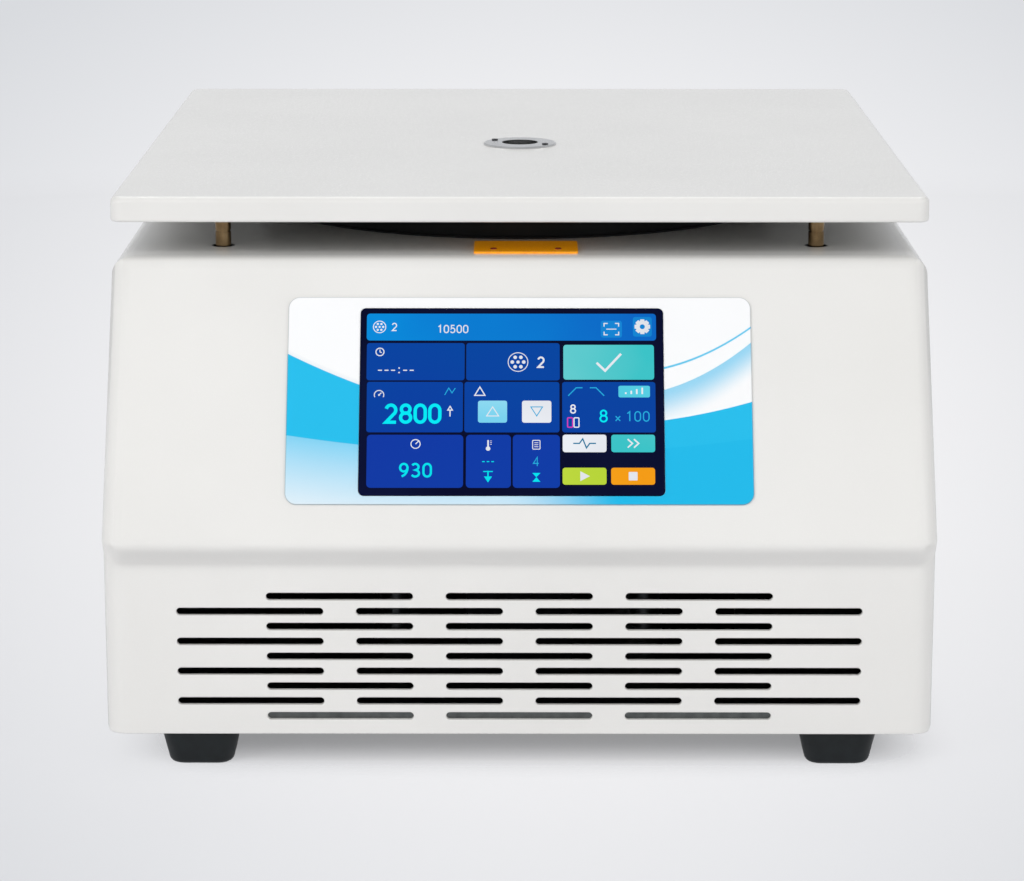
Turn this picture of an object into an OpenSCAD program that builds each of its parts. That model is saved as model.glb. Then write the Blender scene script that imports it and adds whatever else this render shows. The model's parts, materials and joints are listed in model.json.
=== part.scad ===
// Benchtop laboratory centrifuge: a sheet-metal housing with a leaning touch panel and a vented face,
// a flat lid on two rear hinges with two locking pins, and a swing-free angle rotor inside.
// Millimetres. The front faces -Y, +X is to the right seen from the front and +Z is up.
// The origin is on the table, under the middle of the machine.

/* [Housing] */
// Width of the housing and of the lid
body_w = 453; // [440:1:500]
// How far the control panel leans out in front of the lid
panel_run = 84; // [78:1:92]
// Height of the control panel, from its nose to the deck
panel_rise = 144; // [142:1:160]
// Height of the vented face under the nose
vent_face_h = 96; // [94:1:110]
// Height of the chin between the vented face and the nose
chin_h = 12; // [9:1:15]
// Setback of the vented face behind the nose
chin_run = 9; // [6:1:12]
// Thickness of the housing's wall
wall = 3; // [2.5:0.5:3.5]
// Radius of the housing's standing edges
edge_r = 12; // [10:1:16]
// Radius along the front and the sides of the deck
deck_r = 12; // [8:1:14]
// Radius along the nose
nose_r = 7; // [3.5:0.5:8]
// Radius along the rear edge of the deck
back_r = 4; // [3.5:0.5:6]
// Radius along the bottom edges
foot_edge_r = 3.5; // [3.5:0.5:5]
// How far the lid reaches out behind the rear wall
lid_overhang = 7; // [7:0.5:9]

/* [Vents] */
// Length of a slot
vent_l = 80; // [60:1:88]
// Height of a slot
vent_h = 4.3; // [3:0.1:5]
// Distance between two slots of a row
vent_pitch = 97.7; // [90:0.1:110]
// Distance between two rows
vent_row_pitch = 8.45; // [7:0.05:12]
// Depth of the first row below the chin
vent_drop = 18.2; // [10:0.1:24]
// Least height of the solid wall under the last row
vent_foot = 6; // [5:0.5:12]
// Least width of the solid wall beside a row
vent_side = 30; // [24:1:60]

/* [Lid] */
// Depth of the lid, front edge to rear edge
lid_d = 490; // [486:1:520]
// Thickness of the lid
lid_t = 14; // [13:0.5:18]
// Gap between the deck and the lid
lid_gap = 19; // [18.5:0.5:22]
// Radius of the lid's corners seen from above
lid_corner_r = 7; // [7:0.5:12]
// Radius of the lid's upper edge
lid_top_r = 3.5; // [3:0.5:5]
// Radius of the lid's lower edge
lid_bottom_r = 1.5; // [1:0.25:2]
// Sheet thickness of the lid's shell
lid_wall = 2; // [1.5:0.25:2.5]
// Thickness of the liner plate under the lid
liner_t = 2; // [1.5:0.25:3]
// Width of the stiffening channels inside the lid
brace_w = 44; // [40:1:60]
// Sheet thickness of the stiffening channels
brace_t = 1.5; // [1:0.25:2]

/* [Port] */
// Radius of the port's flange
port_flange_r = 22.2; // [20:0.1:26]
// Height of the flange above the lid
port_flange_h = 1.2; // [0.8:0.1:2]
// Radius of the port's bore
port_bore_r = 11; // [8:0.5:12]
// Wall of the port's neck
port_neck_wall = 3; // [2.5:0.25:4]
// Thickness of the sight glass
port_glass_t = 3; // [2:0.5:4]
// Head radius of a flange screw
port_screw_r = 1.9; // [1.5:0.1:2.5]

/* [Hinges] */
// Distance between the two hinges
hinge_span = 300; // [240:2:320]
// Width of a hinge
hinge_w = 40; // [36:1:50]
// Distance of the hinge axis from the lid's rear edge
hinge_setback = 15; // [14:0.5:16]
// Radius of the hinge pins
hinge_pin_r = 3; // [2.5:0.25:3.25]
// Width of each outer ear
hinge_ear_w = 5; // [4:0.5:6]
// Thickness of the hinge plates
hinge_plate_t = 3; // [2.5:0.25:3]
// Length of a hinge plate along the lid
hinge_leaf_l = 34; // [30:1:40]
// Wire radius of the torsion springs
spring_wire_r = 0.6; // [0.5:0.05:0.7]
// Turns of a torsion spring
spring_turns = 4; // [3:1:5]

/* [Locks] */
// Distance between the two locking pins
pin_span = 334; // [330:1:350]
// Distance of the pins behind the lid's front edge
pin_setback = 38; // [36:1:44]
// Radius of a locking pin
pin_r = 4.5; // [4:0.25:5]
// Reach of a pin below the deck
pin_reach = 34; // [32:1:36]
// Radius of the pin's neck, which the bolt grips
pin_neck_r = 2.2; // [2:0.1:2.5]
// Clearance between a pin and the bush in the deck
pin_clear = 1.1; // [1:0.1:2]
// Wall of the bushes that line the deck's pin holes
bush_wall = 1; // [0.8:0.1:2]
// Thickness of a lock bolt
bolt_t = 4; // [3:0.25:4.5]
// Width of a lock bolt
bolt_w = 14; // [12:0.5:16]
// Travel of a lock bolt
bolt_travel = 8.5; // [8:0.5:9]
// Radius of the plunger behind a bolt
plunger_r = 1.8; // [1.5:0.1:1.9]
// Radius of the lock's magnet coil
coil_r = 11; // [9:0.5:12]
// Length of the lock's magnet coil
coil_l = 34; // [30:1:36]

/* [Chamber] */
// Distance of the spin axis behind the middle of the machine
axis_back = 10; // [8:1:12]
// Inner radius of the bowl
bowl_r = 141; // [138:1:142]
// Depth of the bowl below the deck
bowl_depth = 148; // [146:1:150]
// Sheet thickness of the bowl
bowl_t = 1.2; // [1:0.1:1.5]
// Radius between the bowl's wall and its floor
bowl_floor_r = 20; // [12:1:24]
// Distance of the rubber seal from the bowl's wall
seal_setback = 2.6; // [1:0.1:4]
// Width of the seal's foot
seal_w = 9; // [8:0.5:12]
// How far the bowl's rim reaches out past the seal
rim_margin = 1.9; // [1:0.1:4]
// Clearance between the seal and the closed lid
seal_clear = 0.3; // [0.3:0.1:0.6]
// Gap between the bowl and the steel guard ring around it
guard_gap = 8.8; // [6:0.1:12]
// Wall of the guard ring
guard_t = 5; // [4:0.5:6]
// Windows round the foot of the guard ring
guard_windows = 8; // [6:1:8]

/* [Rotor] */
// Tube bores in the rotor
tube_count = 6; // [4:1:6]
// Radius of a tube bore
tube_r = 14.75; // [12:0.25:15]
// Length of a tube bore above its round bottom
tube_depth = 72; // [66:1:74]
// Lean of the tubes from upright
tube_lean = 30; // [28:1:32]
// Greatest radius that the sample reaches
sample_r = 106; // [104:0.5:108]
// Wall of the rotor round the tubes
rotor_wall = 8; // [7:0.5:9]
// Height of the rotor's base above the bowl's floor
rotor_lift = 14; // [13:1:18]
// Radius of the rotor's bore and of the shaft in it
shaft_seat_r = 8; // [7:0.5:9]
// Radius of the hold-down knob
knob_r = 20; // [17:0.5:22]
// Height of the hold-down knob
knob_h = 32; // [26:1:36]
// Finger scallops round the knob
knob_lobes = 8; // [6:1:12]

/* [Motor] */
// Outer radius of the motor's case
motor_r = 56; // [52:1:60]
// Wall of the motor's case
motor_wall = 5; // [4:0.5:6]
// Height of the motor's underside above the tray
motor_lift = 10; // [8:1:14]
// Radius of the motor's neck, which the boot grips
neck_r = 26; // [24:0.5:27]
// Cooling ribs round the case
motor_ribs = 20; // [12:1:24]
// Radius of the shaft in the bearings
shaft_r = 6; // [5:0.25:6.5]
// Outer radius of a bearing
bearing_r = 16; // [14:0.5:17]
// Width of a bearing
bearing_w = 9; // [8:0.5:10]
// Radius of the motor's spinning core
core_r = 29; // [26:0.5:30]
// Gap between the spinning core and the stator
air_gap = 1; // [0.8:0.1:1.5]
// Side of the square plate that carries the motor
mount_w = 190; // [184:1:194]
// Thickness of that plate
mount_t = 6; // [5:0.5:8]
// Distance of the four dampers' middles from the plate's edges
damper_inset = 19; // [17:1:24]
// Radius of a rubber damper
damper_r = 15; // [12:0.5:16]
// Height of a rubber damper
damper_h = 24; // [20:1:28]

/* [Panel] */
// Distance of the printed panel sheet down from the deck's edge
overlay_top = 24.1; // [16:0.1:28]
// Width of the sheet to the left of the touch glass
overlay_left_w = 39.8; // [10:0.1:60]
// Width of the sheet to the right of the touch glass
overlay_right_w = 48.2; // [10:0.1:60]
// Height of the sheet above the touch glass
overlay_above_h = 6.6; // [4:0.1:10]
// Height of the sheet below the touch glass
overlay_below_h = 5; // [4:0.1:8]
// Thickness of the printed panel sheet
overlay_t = 0.8; // [0.6:0.1:1]
// Corner radius of the printed panel sheet
overlay_r = 6.5; // [4:0.5:8]
// Width of the touch glass
glass_w = 166; // [164:0.5:170]
// Height of the touch glass
glass_h = 107.4; // [96:0.2:112]
// Thickness of the touch glass
glass_t = 1.2; // [1:0.1:1.6]
// Depth of the display module behind the glass
module_depth = 14; // [12:1:16]
// Width of the blank plate on the deck
label_w = 58; // [50:1:62]
// Distance of the blank plate before the bowl's rim
label_clear = 13; // [8:0.5:20]
// Thickness of the blank plate
label_t = 1.2; // [0.8:0.1:1.5]
// Offset of the blank plate to the right of the middle
label_right = 3.5; // [0:0.5:20]
// Distance of the blank plate behind the lid's front edge
label_setback = 9.5; // [9:0.1:14]

/* [Feet and tray] */
// Height of a foot
foot_h = 20; // [18:1:24]
// Width of a foot where it meets the tray
foot_top_w = 43; // [40:0.5:43]
// Width of a foot on the table
foot_bottom_w = 36; // [30:0.5:38]
// Radius of a foot's standing edges
foot_corner_r = 9; // [8:0.5:12]
// Distance of the feet from the sides
foot_inset = 51; // [46:1:56]
// Distance of the front feet behind the nose, and of the rear feet before the lid's rear edge
foot_setback = 34; // [34:1:44]
// Sheet thickness of the tray
tray_t = 2; // [1.5:0.25:3]
// Height of the tray's turned-up edge
tray_h = 14; // [12:1:18]

/* [Rear] */
// Width of the opening in the rear wall
rear_open_w = 360; // [350:1:370]
// Height of the opening in the rear wall
rear_open_h = 140; // [136:1:144]
// Height of that opening above the tray
rear_open_up = 40; // [38:1:44]
// Thickness of the rear panel
rear_t = 2; // [1.5:0.25:2]
// Side of the square fan
fan_w = 92; // [88:1:92]
// Depth of the fan
fan_d = 25; // [24:1:27]
// Distance of the fan to the left of the middle, seen from the front
fan_left = 110; // [104:1:116]
// Blades of the fan
fan_blades = 7; // [5:1:9]
// Height of the fan above the table
fan_up = 130; // [128:1:132]
// Distance of the power inlet to the right of the middle, seen from the front
inlet_right = 130; // [124:1:136]
// Height of the power inlet above the table
inlet_up = 98; // [96:1:102]
// Height of the power switch above the table
switch_up = 152; // [150:1:156]
// Tilt of the rocker to each side
rocker_tilt = 12; // [9:1:12]

/* [Hidden] */
$fn = 96;
far = 4 * body_w;            // longer than the machine, for cutting slabs
cut = 1;                     // how far a cutting body runs past the face it opens
slip = 0.05;                 // radial clearance of a running fit
play = 0.5;                  // clearance round parts that must not rub
hair = 0.2;                  // clearance round parts that are let in

// Heights, from the table up
base_z = foot_h;
tray_z = base_z + tray_t;
chin_z = base_z + vent_face_h;
nose_z = chin_z + chin_h;
deck_z = nose_z + panel_rise;
under_deck_z = deck_z - wall;
lid_z = deck_z + lid_gap;
liner_z = lid_z + liner_t;   // the liner's upper face
lid_top_z = lid_z + lid_t;
brace_end = 10;              // the channels end this far inside the lid's edges
brace_bar_in = 82;           // distance of a cross bar's middle from the channels' ends

// Depths, from the nose back; the machine's middle is at zero
nose_y = -(panel_run + lid_d) / 2;
face_y = nose_y + chin_run;
lid_y = nose_y + panel_run;
rear_y = -nose_y;
back_y = rear_y - lid_overhang;
axis_y = axis_back;
lid_mid_y = (lid_y + rear_y) / 2;

// Vents: long rows, with a shorter row by one slot between them
vent_rows = 1 + floor((vent_face_h - vent_drop - vent_foot - vent_h / 2) / vent_row_pitch);
vent_columns = 1 + floor((body_w - 2 * vent_side - vent_l) / vent_pitch);
tray_slot_l = 36;
tray_slot_w = 5;
tray_slot_pitch = 24;
tray_slot_inset = 34;

// Feet
foot_screw_r = 5;
foot_screw_h = 4;
foot_recess_h = 7;
foot_round = 3.5;
foot_pad_h = 8;               // the rounded lower end that the sides lean out from

// Control panel: the printed sheet frames the glass
panel_tilt = atan(panel_run / panel_rise);
overlay_w = overlay_left_w + glass_w + overlay_right_w;
overlay_h = overlay_above_h + glass_h + overlay_below_h;
overlay_drop = overlay_top + overlay_h / 2;
glass_left = (overlay_right_w - overlay_left_w) / 2;
glass_drop = overlay_top + overlay_above_h + glass_h / 2;
glass_corner_r = 3;
module_edge = 9;             // the glass reaches this far past the module at its sides
module_shelf = 7;            // and this far above and below it
module_w = glass_w - 2 * module_edge;
module_h = glass_h - 2 * module_shelf;
module_rim = 4;
module_pocket = 2;
board_t = 1.6;
board_gap = 8.5;
spacer_r = 2;
chip_w = 18;
chip_h = 4;
chip_offset = 34;
chip_up = 12;
capacitor_r = 5;
capacitor_h = 9;
capacitor_pitch = 22;
capacitor_down = 26;
plug_w = 10;
plug_l = 60;
plug_h = 8;

// Drive board and its heatsink, in the rear right corner of the tray
board_w = 88;
board_d = 96;
board_side = 10;             // distance of the board from the side wall
board_back = 30;             // distance of the board from the rear wall
board_x = body_w / 2 - wall - board_side - board_w / 2;
board_y = back_y - wall - board_back - board_d / 2;
post_r = 3;
post_h = 8;
post_inset = 6;
drive_cap_r = 10;
drive_cap_h = 24;
drive_cap_x = 24;
drive_cap_pitch = 27;
relay_x = -2;
relay_w = 10;
relay_l = 48;
relay_h = 16;
sink_w = 30.4;
sink_l = 72;
sink_h = 30;
sink_base_t = 5;
sink_inset = 6;
fin_t = 1.6;
fin_pitch = 3.6;

// Hinges, their axis midway between the deck and the lid
hinge_up = lid_gap / 2;
hinge_y = rear_y - hinge_setback;
hinge_z = deck_z + hinge_up;
ear_r = lid_gap - hinge_up - hinge_plate_t - play;
spring_pitch = 2 * spring_wire_r + hair;
spring_room = spring_pitch * (spring_turns + 0.5) + 2 * spring_wire_r + 2 * hair;
spring_steps = 12;
spring_leg = 10;
spring_coil_r = hinge_pin_r + spring_wire_r + play;
hinge_base_t = 2.5;
hinge_base_l = 8;            // the block's foot reaches this far in front of its ears
leaf_rear = 5;               // a hinge leaf ends this far behind its pin

// Locks
pin_x = pin_span / 2;
pin_y = lid_y + pin_setback;
pin_stud_r = 3;
pin_tip = 3;
pin_groove_up = 8;
pin_groove_w = 1;
pin_groove_t = 0.5;
pin_neck_h = bolt_t + 2;
nut_r = 6;
nut_h = 4;
bush_bore_r = pin_r + pin_clear;
pin_bush_r = bush_bore_r + bush_wall;
bolt_drop = 20;
bolt_z = under_deck_z - bolt_drop;
bolt_l = 20;
bolt_play = 0.6;             // width of the fork's slot over the pin's neck
lock_swing = 2.3;            // room for the pin to swing out round the hinges
lock_bore_r = pin_r + lock_swing;
bolt_rest = lock_bore_r + 0.7; // the bolt's tip stands this far from the pin's axis when unlocked
lock_frame_in = 30;          // reach of a lock's frame towards the middle, from its pin
lock_frame_out = 12;
lock_frame_side = 6;
lock_frame_w = bolt_w + 2 * lock_frame_side;
lock_frame_h = 28;
lock_slot_out = 8;           // the bolt's slot ends this far past the pin's axis

// Chamber
bowl_z = deck_z - bowl_depth;
bowl_hole_r = bowl_r + bowl_t + play;
seal_r = bowl_r + seal_setback + seal_w;
bowl_rim_r = seal_r + rim_margin;
guard_r = bowl_r + bowl_t + guard_gap + guard_t;
guard_window_w = 60;
seal_h = lid_gap - bowl_t - seal_clear;
seal_foot_t = 3;
seal_web_w = 3.6;
seal_bead_r = seal_w / 2 - hair;
boot_hole_r = 34;
boot_t = 2.5;
boot_lip = 5;
boot_grip = 6;

// Motor, from the tray up
motor_z = tray_z + motor_lift;
bell_h = 12;
bell_floor = 5;
spigot_h = 3;                // the bell and the case are let into each other this far
neck_gap = 8;
neck_h = 20;
neck_z = bowl_z - neck_gap;
flange_z = neck_z - neck_h;
flange_t = 4;
flange_w = 10;
flange_r = motor_r + flange_w;
motor_screw_r = 4;
mount_z = flange_z - mount_t;
mount_play = 3;
pillar_r = 9;
damper_z = mount_z - damper_h;
damper_offset = mount_w / 2 - damper_inset;
damper_waist = 2;
rib_w = 3;
rib_gap = 4;
case_lip = 6;
cap_t = 4;
cap_z = flange_z + flange_t + case_lip;
stator_r = motor_r - motor_wall;
stator_lift = 8;
core_z = motor_z + bell_h + stator_lift;
core_h = flange_z - core_z - stator_lift;
core_bore_r = core_r + air_gap;
winding_h = 5;
winding_wall = 4;
stator_slots = 12;
stator_slot_r = 3.5;
shaft_low = 3;
shaft_play = 2;
race_t = 2.6;
shield_t = 0.8;
bearing_seat = 4;

// Rotor, from its base up
rotor_z = bowl_z + rotor_lift;
tube_base_r = sample_r - tube_r;
tube_base_h = tube_r + rotor_wall - play;
tube_flat = 0.2;             // the round bottom of a bore ends in a small flat this deep
tube_lip = 1.6;              // the bore widens by this much above the tube's length
mouth_r = tube_base_r - tube_depth * sin(tube_lean);
mouth_h = tube_base_h + tube_depth * cos(tube_lean);
dish = tan(tube_lean);       // slope of the dish that the tubes open into
dish_in_r = 36;
dish_margin = 3;
dish_out_r = mouth_r + tube_r * cos(tube_lean) + dish_margin;
rim_w = 5;
dish_in_h = mouth_h - (mouth_r - dish_in_r) * dish;
rim_h = mouth_h + (dish_out_r - mouth_r) * dish;
rotor_skirt_h = 30;
rotor_chamfer = 5;
rotor_r = tube_base_r + (tube_r + rotor_wall) / cos(tube_lean) + (tube_base_h - rotor_skirt_h) * dish;
relief_in_r = 26;            // the hollow turned into the rotor's underside
relief_out_r = 66;
relief_top_in_r = 30;
relief_top_out_r = 50;
relief_h = 40;
knob_recess_r = 28;
knob_sink = 13;
knob_floor_h = dish_in_h - knob_sink;
knob_round = 4;
knob_lobe_r = 4;
knob_lobe_out = 2;
knob_lobe_up = 6;
knob_roof = 6;
stud_r = 5;
stud_gap = 2;                // clearance above a shaft's shoulder or end
hub_r = 14;
hub_t = 6;

// Rear
rear_open_z = base_z + rear_open_up;
rear_margin = 8;
rear_corner_r = 3;
rear_w = rear_open_w + 2 * rear_margin;
rear_h = rear_open_h + 2 * rear_margin;
rear_mid_z = rear_open_z + rear_open_h / 2;
panel_back_y = back_y + rear_t;
rear_screw_r = 3;
rear_screw_h = 1.6;
rear_slot_l = 44;
rear_slot_w = 4;
rear_slot_x = 6;
rear_slot_offset = 26;
rear_slot_pitch = 12;
fan_rim = 3;
fan_flange_t = 4;
fan_shell = 2.2;
fan_corner_r = 4;
fan_screw_inset = 5;
fan_screw_r = 2.1;
fan_bore_r = fan_w / 2 - fan_rim;
fan_tip_r = fan_bore_r - 1.5;
fan_hub_r = 19;
fan_pin_r = 2;
fan_arm_w = 4;
fan_motor_h = 6;
fan_pin_h = 14;
fan_blade_t = 1.6;
fan_blade_tilt = 38;
fan_wheel_gap = 9;
fan_wheel_h = fan_d - fan_wheel_gap;
fan_arm_turn = 20;
fan_cap_t = 5;
guard_wire_r = 0.9;
guard_ring_pitch = 10;
guard_eye_r = 4;
guard_span = (fan_w - 2 * fan_screw_inset) * sqrt(2) - guard_eye_r - fan_screw_r; // length of a spoke
inlet_w = 50;
inlet_h = 40;
inlet_step = 4;
inlet_flange_t = 2.2;
socket_w = 24;
socket_h = 17;
socket_d = 16;
socket_up = 6;
socket_chamfer = 4;
blade_t = 2;
blade_w = 4;
blade_l = 9;
blade_x = 7;
drawer_w = 20;
drawer_h = 7;
drawer_d = 14;
drawer_down = 11;
drawer_proud = 0.6;
grip_w = 8;
grip_h = 1.6;
switch_w = 21;
switch_h = 31;
switch_d = 16;
switch_step = 2;
rocker_w = 15.4;
rocker_h = 23;
rocker_tip = 5.3;
rocker_dip = 3;
rocker_root = 4;
rocker_depth = 5;
rocker_y = back_y - 1;
trunnion_r = 1.5;
trunnion_l = 1;

// Deck
label_rear_y = axis_y - bowl_rim_r - label_clear;
label_d = label_rear_y - lid_y - label_setback;
label_corner_r = 1.5;
rivet_r = 1.8;
rivet_h = 0.5;
rivet_offset = 18;
rivet_inset = 9;
port_screw_pitch_r = (port_flange_r + port_bore_r + port_neck_wall) / 2;
port_screw_h = 0.6;
port_screw_turn = -32;
port_seat = 1.5;             // the glass reaches this far past the port's bore
port_chamfer = 0.8;

paint = [0.91, 0.91, 0.90];
steel = [0.72, 0.72, 0.70];
alloy = [0.78, 0.79, 0.80];
zinc = [0.66, 0.67, 0.69];
rubber = [0.09, 0.10, 0.11];
black = [0.13, 0.13, 0.14];
brass = [0.72, 0.58, 0.34];
copper = [0.72, 0.42, 0.24];
board_green = [0.10, 0.36, 0.20];
screen_blue = [0.05, 0.18, 0.55];
yellow = [0.96, 0.70, 0.05];

// ---- Directions and outlines ----

// Draws an outline of depths and heights and runs it along X
module along_x(length) {
    rotate([90, 0, 90]) linear_extrude(length, center = true) children();
}

// Draws an outline of X and heights and runs it along Y
module along_y(length) {
    rotate([90, 0, 0]) linear_extrude(length, center = true) children();
}

// Places children on the leaning panel: x to the right, y up the slope, z out of it
module on_panel() {
    translate([0, lid_y, deck_z]) rotate([90 - panel_tilt, 0, 0]) children();
}

// Lays children on the chin: x across, y up the slope, z straight out, from the chin's lower edge
module on_chin() {
    translate([0, face_y, chin_z]) rotate([90 + atan(chin_run / chin_h), 0, 0]) children();
}

// Stands children on the spin axis
module on_axis(z = 0) {
    translate([0, axis_y, z]) children();
}

// Repeats children on a circle round the Z axis
module around(count, radius = 0, start = 0) {
    for (i = [0 : count - 1]) rotate(start + i * 360 / count) translate([radius, 0, 0]) children();
}

// Repeats children at the four corners of a rectangle
module at_corners(x, y) {
    for (sx = [-1, 1], sy = [-1, 1]) translate([sx * x, sy * y, 0]) children();
}

// Repeats children on the left and mirrored on the right
module both_sides() {
    for (side = [0, 1]) mirror([side, 0, 0]) children();
}

module rounded_rect(w, h, r) {
    square([w - 2 * r, h], center = true);
    square([w, h - 2 * r], center = true);
    at_corners(w / 2 - r, h / 2 - r) circle(r);
}

// A rectangle between two corners, with a radius of its own at each corner, from lower left round
module framed_rect(low, high, r) {
    inner = max(r);
    translate([low.x + inner, low.y]) square([high.x - low.x - 2 * inner, high.y - low.y]);
    translate([low.x, low.y + inner]) square([high.x - low.x, high.y - low.y - 2 * inner]);
    place = [
        [low.x, low.y, 1, 1], [high.x, low.y, -1, 1], [high.x, high.y, -1, -1], [low.x, high.y, 1, -1]
    ];
    for (i = [0 : 3]) let (p = place[i]) {
        if (r[i] > 0) translate([p[0] + p[2] * r[i], p[1] + p[3] * r[i]]) circle(r[i]);
        if (r[i] < inner) {
            translate([min(p[0] + p[2] * r[i], p[0] + p[2] * inner), min(p[1], p[1] + p[3] * inner)])
                square([inner - r[i], inner]);
            translate([min(p[0], p[0] + p[2] * inner), min(p[1] + p[3] * r[i], p[1] + p[3] * inner)])
                square([inner, inner - r[i]]);
        }
    }
}

module slot_outline(length, height) {
    square([length - height, height], center = true);
    for (side = [-1, 1]) translate([side * (length - height) / 2, 0]) circle(d = height);
}

// Unit vectors and corner points of an outline that turns left
function unit(v) = v / norm(v);
function left_of(a, b) = [-unit(b - a).y, unit(b - a).x];
function round_index(points, i) = points[(i + len(points)) % len(points)];
function inset(points, gap) = [
    for (i = [0 : len(points) - 1])
        let (p = points[i])
        let (m = left_of(round_index(points, i - 1), p), n = left_of(p, round_index(points, i + 1)))
        p + (m + n) * gap / (1 + m * n)
];
function half_angle(a, p, b) = acos(unit(a - p) * unit(b - p)) / 2;

// A convex outline whose corners have the given radii
module rounded_outline(points, radii) {
    count = len(points);
    polygon([
        for (i = [0 : count - 1])
            let (p = points[i], a = round_index(points, i - 1), b = round_index(points, i + 1))
            each radii[i] > 0
                ? [p + unit(a - p) * radii[i] / tan(half_angle(a, p, b)),
                   p + unit(b - p) * radii[i] / tan(half_angle(a, p, b))]
                : [p]
    ]);
    for (i = [0 : count - 1]) if (radii[i] > 0)
        let (p = points[i], a = round_index(points, i - 1), b = round_index(points, i + 1))
        translate(p + unit(unit(a - p) + unit(b - p)) * radii[i] / sin(half_angle(a, p, b)))
            circle(radii[i]);
}

// The edge of a slab: flat inside, with rounded upper and lower corners at its reach
module slab_edge(reach, t, top_r, bottom_r) {
    translate([0, bottom_r]) square([reach, t - top_r - bottom_r]);
    square([reach - bottom_r, t / 2]);
    translate([0, t / 2]) square([reach - top_r, t / 2]);
    translate([reach - top_r, t - top_r]) circle(top_r);
    translate([reach - bottom_r, bottom_r]) circle(bottom_r);
}

// A flat slab on z = 0 with rounded plan corners and rounded edges
module rounded_slab(w, d, t, corner_r, top_r, bottom_r) {
    along_y(d - 2 * corner_r) both_sides() slab_edge(w / 2, t, top_r, bottom_r);
    along_x(w - 2 * corner_r) both_sides() slab_edge(d / 2, t, top_r, bottom_r);
    at_corners(w / 2 - corner_r, d / 2 - corner_r)
        rotate_extrude() slab_edge(corner_r, t, top_r, bottom_r);
}

// A ring standing on z = 0
module ring(outer_r, inner_r, h) {
    difference() {
        cylinder(h = h, r = outer_r);
        translate([0, 0, -cut]) cylinder(h = h + 2 * cut, r = inner_r);
    }
}

// A screw head with a hexagon socket, its flat face on z = 0
module socket_head(r, h) {
    difference() {
        cylinder(h = h, r = r);
        translate([0, 0, h * 0.45]) cylinder(h = h, r = r * 0.5, $fn = 6);
    }
}

// ---- Housing and tray ----

// The outline of the housing below a leaning face, as seen along the slope
module slab_below(gap) {
    translate([0, -far / 2 - gap]) rounded_rect(body_w - 2 * gap, far, edge_r - gap);
}

// The upper form of the housing, drawn in by gap on every side but the bottom
module upper_form(gap) {
    side = inset([
        [back_y, chin_z], [back_y, deck_z], [lid_y, deck_z], [nose_y, nose_z], [face_y, chin_z]
    ], gap);
    intersection() {
        along_x(far) rounded_outline(side, [0, back_r, deck_r, nose_r, 0] - [0, 1, 1, 1, 0] * gap);
        along_y(far) framed_rect([gap - body_w / 2, 0], [body_w / 2 - gap, deck_z - gap],
            [0, 0, deck_r - gap, deck_r - gap]);
        linear_extrude(far) framed_rect([gap - body_w / 2, nose_y + gap], [body_w / 2 - gap, back_y - gap],
            [edge_r, edge_r, edge_r, edge_r] - [1, 1, 1, 1] * gap);
        on_panel() along_y(far) slab_below(gap);
        on_chin() along_y(far) slab_below(gap);
    }
}

// The vented lower form of the housing
module lower_form(gap, low_z, high_z, low_r) {
    intersection() {
        linear_extrude(far) framed_rect([gap - body_w / 2, face_y + gap], [body_w / 2 - gap, back_y - gap],
            [edge_r, edge_r, edge_r, edge_r] - [1, 1, 1, 1] * gap);
        along_y(far)
            framed_rect([gap - body_w / 2, low_z], [body_w / 2 - gap, high_z], [low_r, low_r, 0, 0]);
    }
}

module vent_slots() {
    for (row = [0 : vent_rows - 1])
        let (count = row % 2 == 0 ? vent_columns - 1 : vent_columns)
        let (z = chin_z - vent_drop - row * vent_row_pitch)
        for (i = [0 : count - 1]) translate([(i - (count - 1) / 2) * vent_pitch, face_y, z])
            along_y(4 * wall) slot_outline(vent_l, vent_h);
}

module housing() {
    color(paint) difference() {
        union() {
            upper_form(0);
            lower_form(0, base_z, chin_z + wall, foot_edge_r);
        }
        upper_form(wall);
        lower_form(wall, base_z - cut, nose_z, 0);
        vent_slots();
        on_axis(deck_z / 2) cylinder(h = deck_z, r = bowl_hole_r);
        both_sides() translate([pin_x, pin_y, deck_z / 2]) cylinder(h = deck_z, r = pin_bush_r);
        on_panel() translate([-glass_left, -glass_drop, 0])
            cube([module_w + 2 * play, module_h + 2 * play, 3 * wall], center = true);
        translate([0, back_y, rear_mid_z])
            cube([rear_open_w, 3 * wall, rear_open_h], center = true);
    }
}

// The tray closes the housing from below; its edge is turned up inside the walls
module tray() {
    w = body_w - 2 * wall;
    d = back_y - face_y - 2 * wall;
    r = edge_r - wall + play;
    color(zinc) translate([0, (back_y + face_y) / 2, base_z]) difference() {
        linear_extrude(tray_h) rounded_rect(w, d, r);
        translate([0, 0, tray_t]) linear_extrude(tray_h)
            rounded_rect(w - 2 * tray_t, d - 2 * tray_t, r - tray_t);
        for (row = [-2 : 2], side = [-1, 1])
            translate([side * (body_w / 2 - tray_slot_inset), row * tray_slot_pitch, 0])
                linear_extrude(3 * tray_t, center = true) slot_outline(tray_slot_l, tray_slot_w);
    }
}

module feet_places() {
    for (sx = [-1, 1], sy = [-1, 1])
        translate([sx * (body_w / 2 - foot_inset), sy * (rear_y - foot_setback), 0]) children();
}

module feet() {
    color(rubber) feet_places() difference() {
        hull($fn = 24) {
            rounded_slab(foot_bottom_w, foot_bottom_w, foot_pad_h, foot_corner_r, 0, foot_round);
            translate([0, 0, foot_h - hair]) linear_extrude(hair)
                rounded_rect(foot_top_w, foot_top_w, foot_corner_r);
        }
        translate([0, 0, -cut]) cylinder(h = foot_recess_h + cut, r = foot_screw_r + play);
        cylinder(h = 2 * foot_h, r = foot_screw_r / 2);
    }
}

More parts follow.
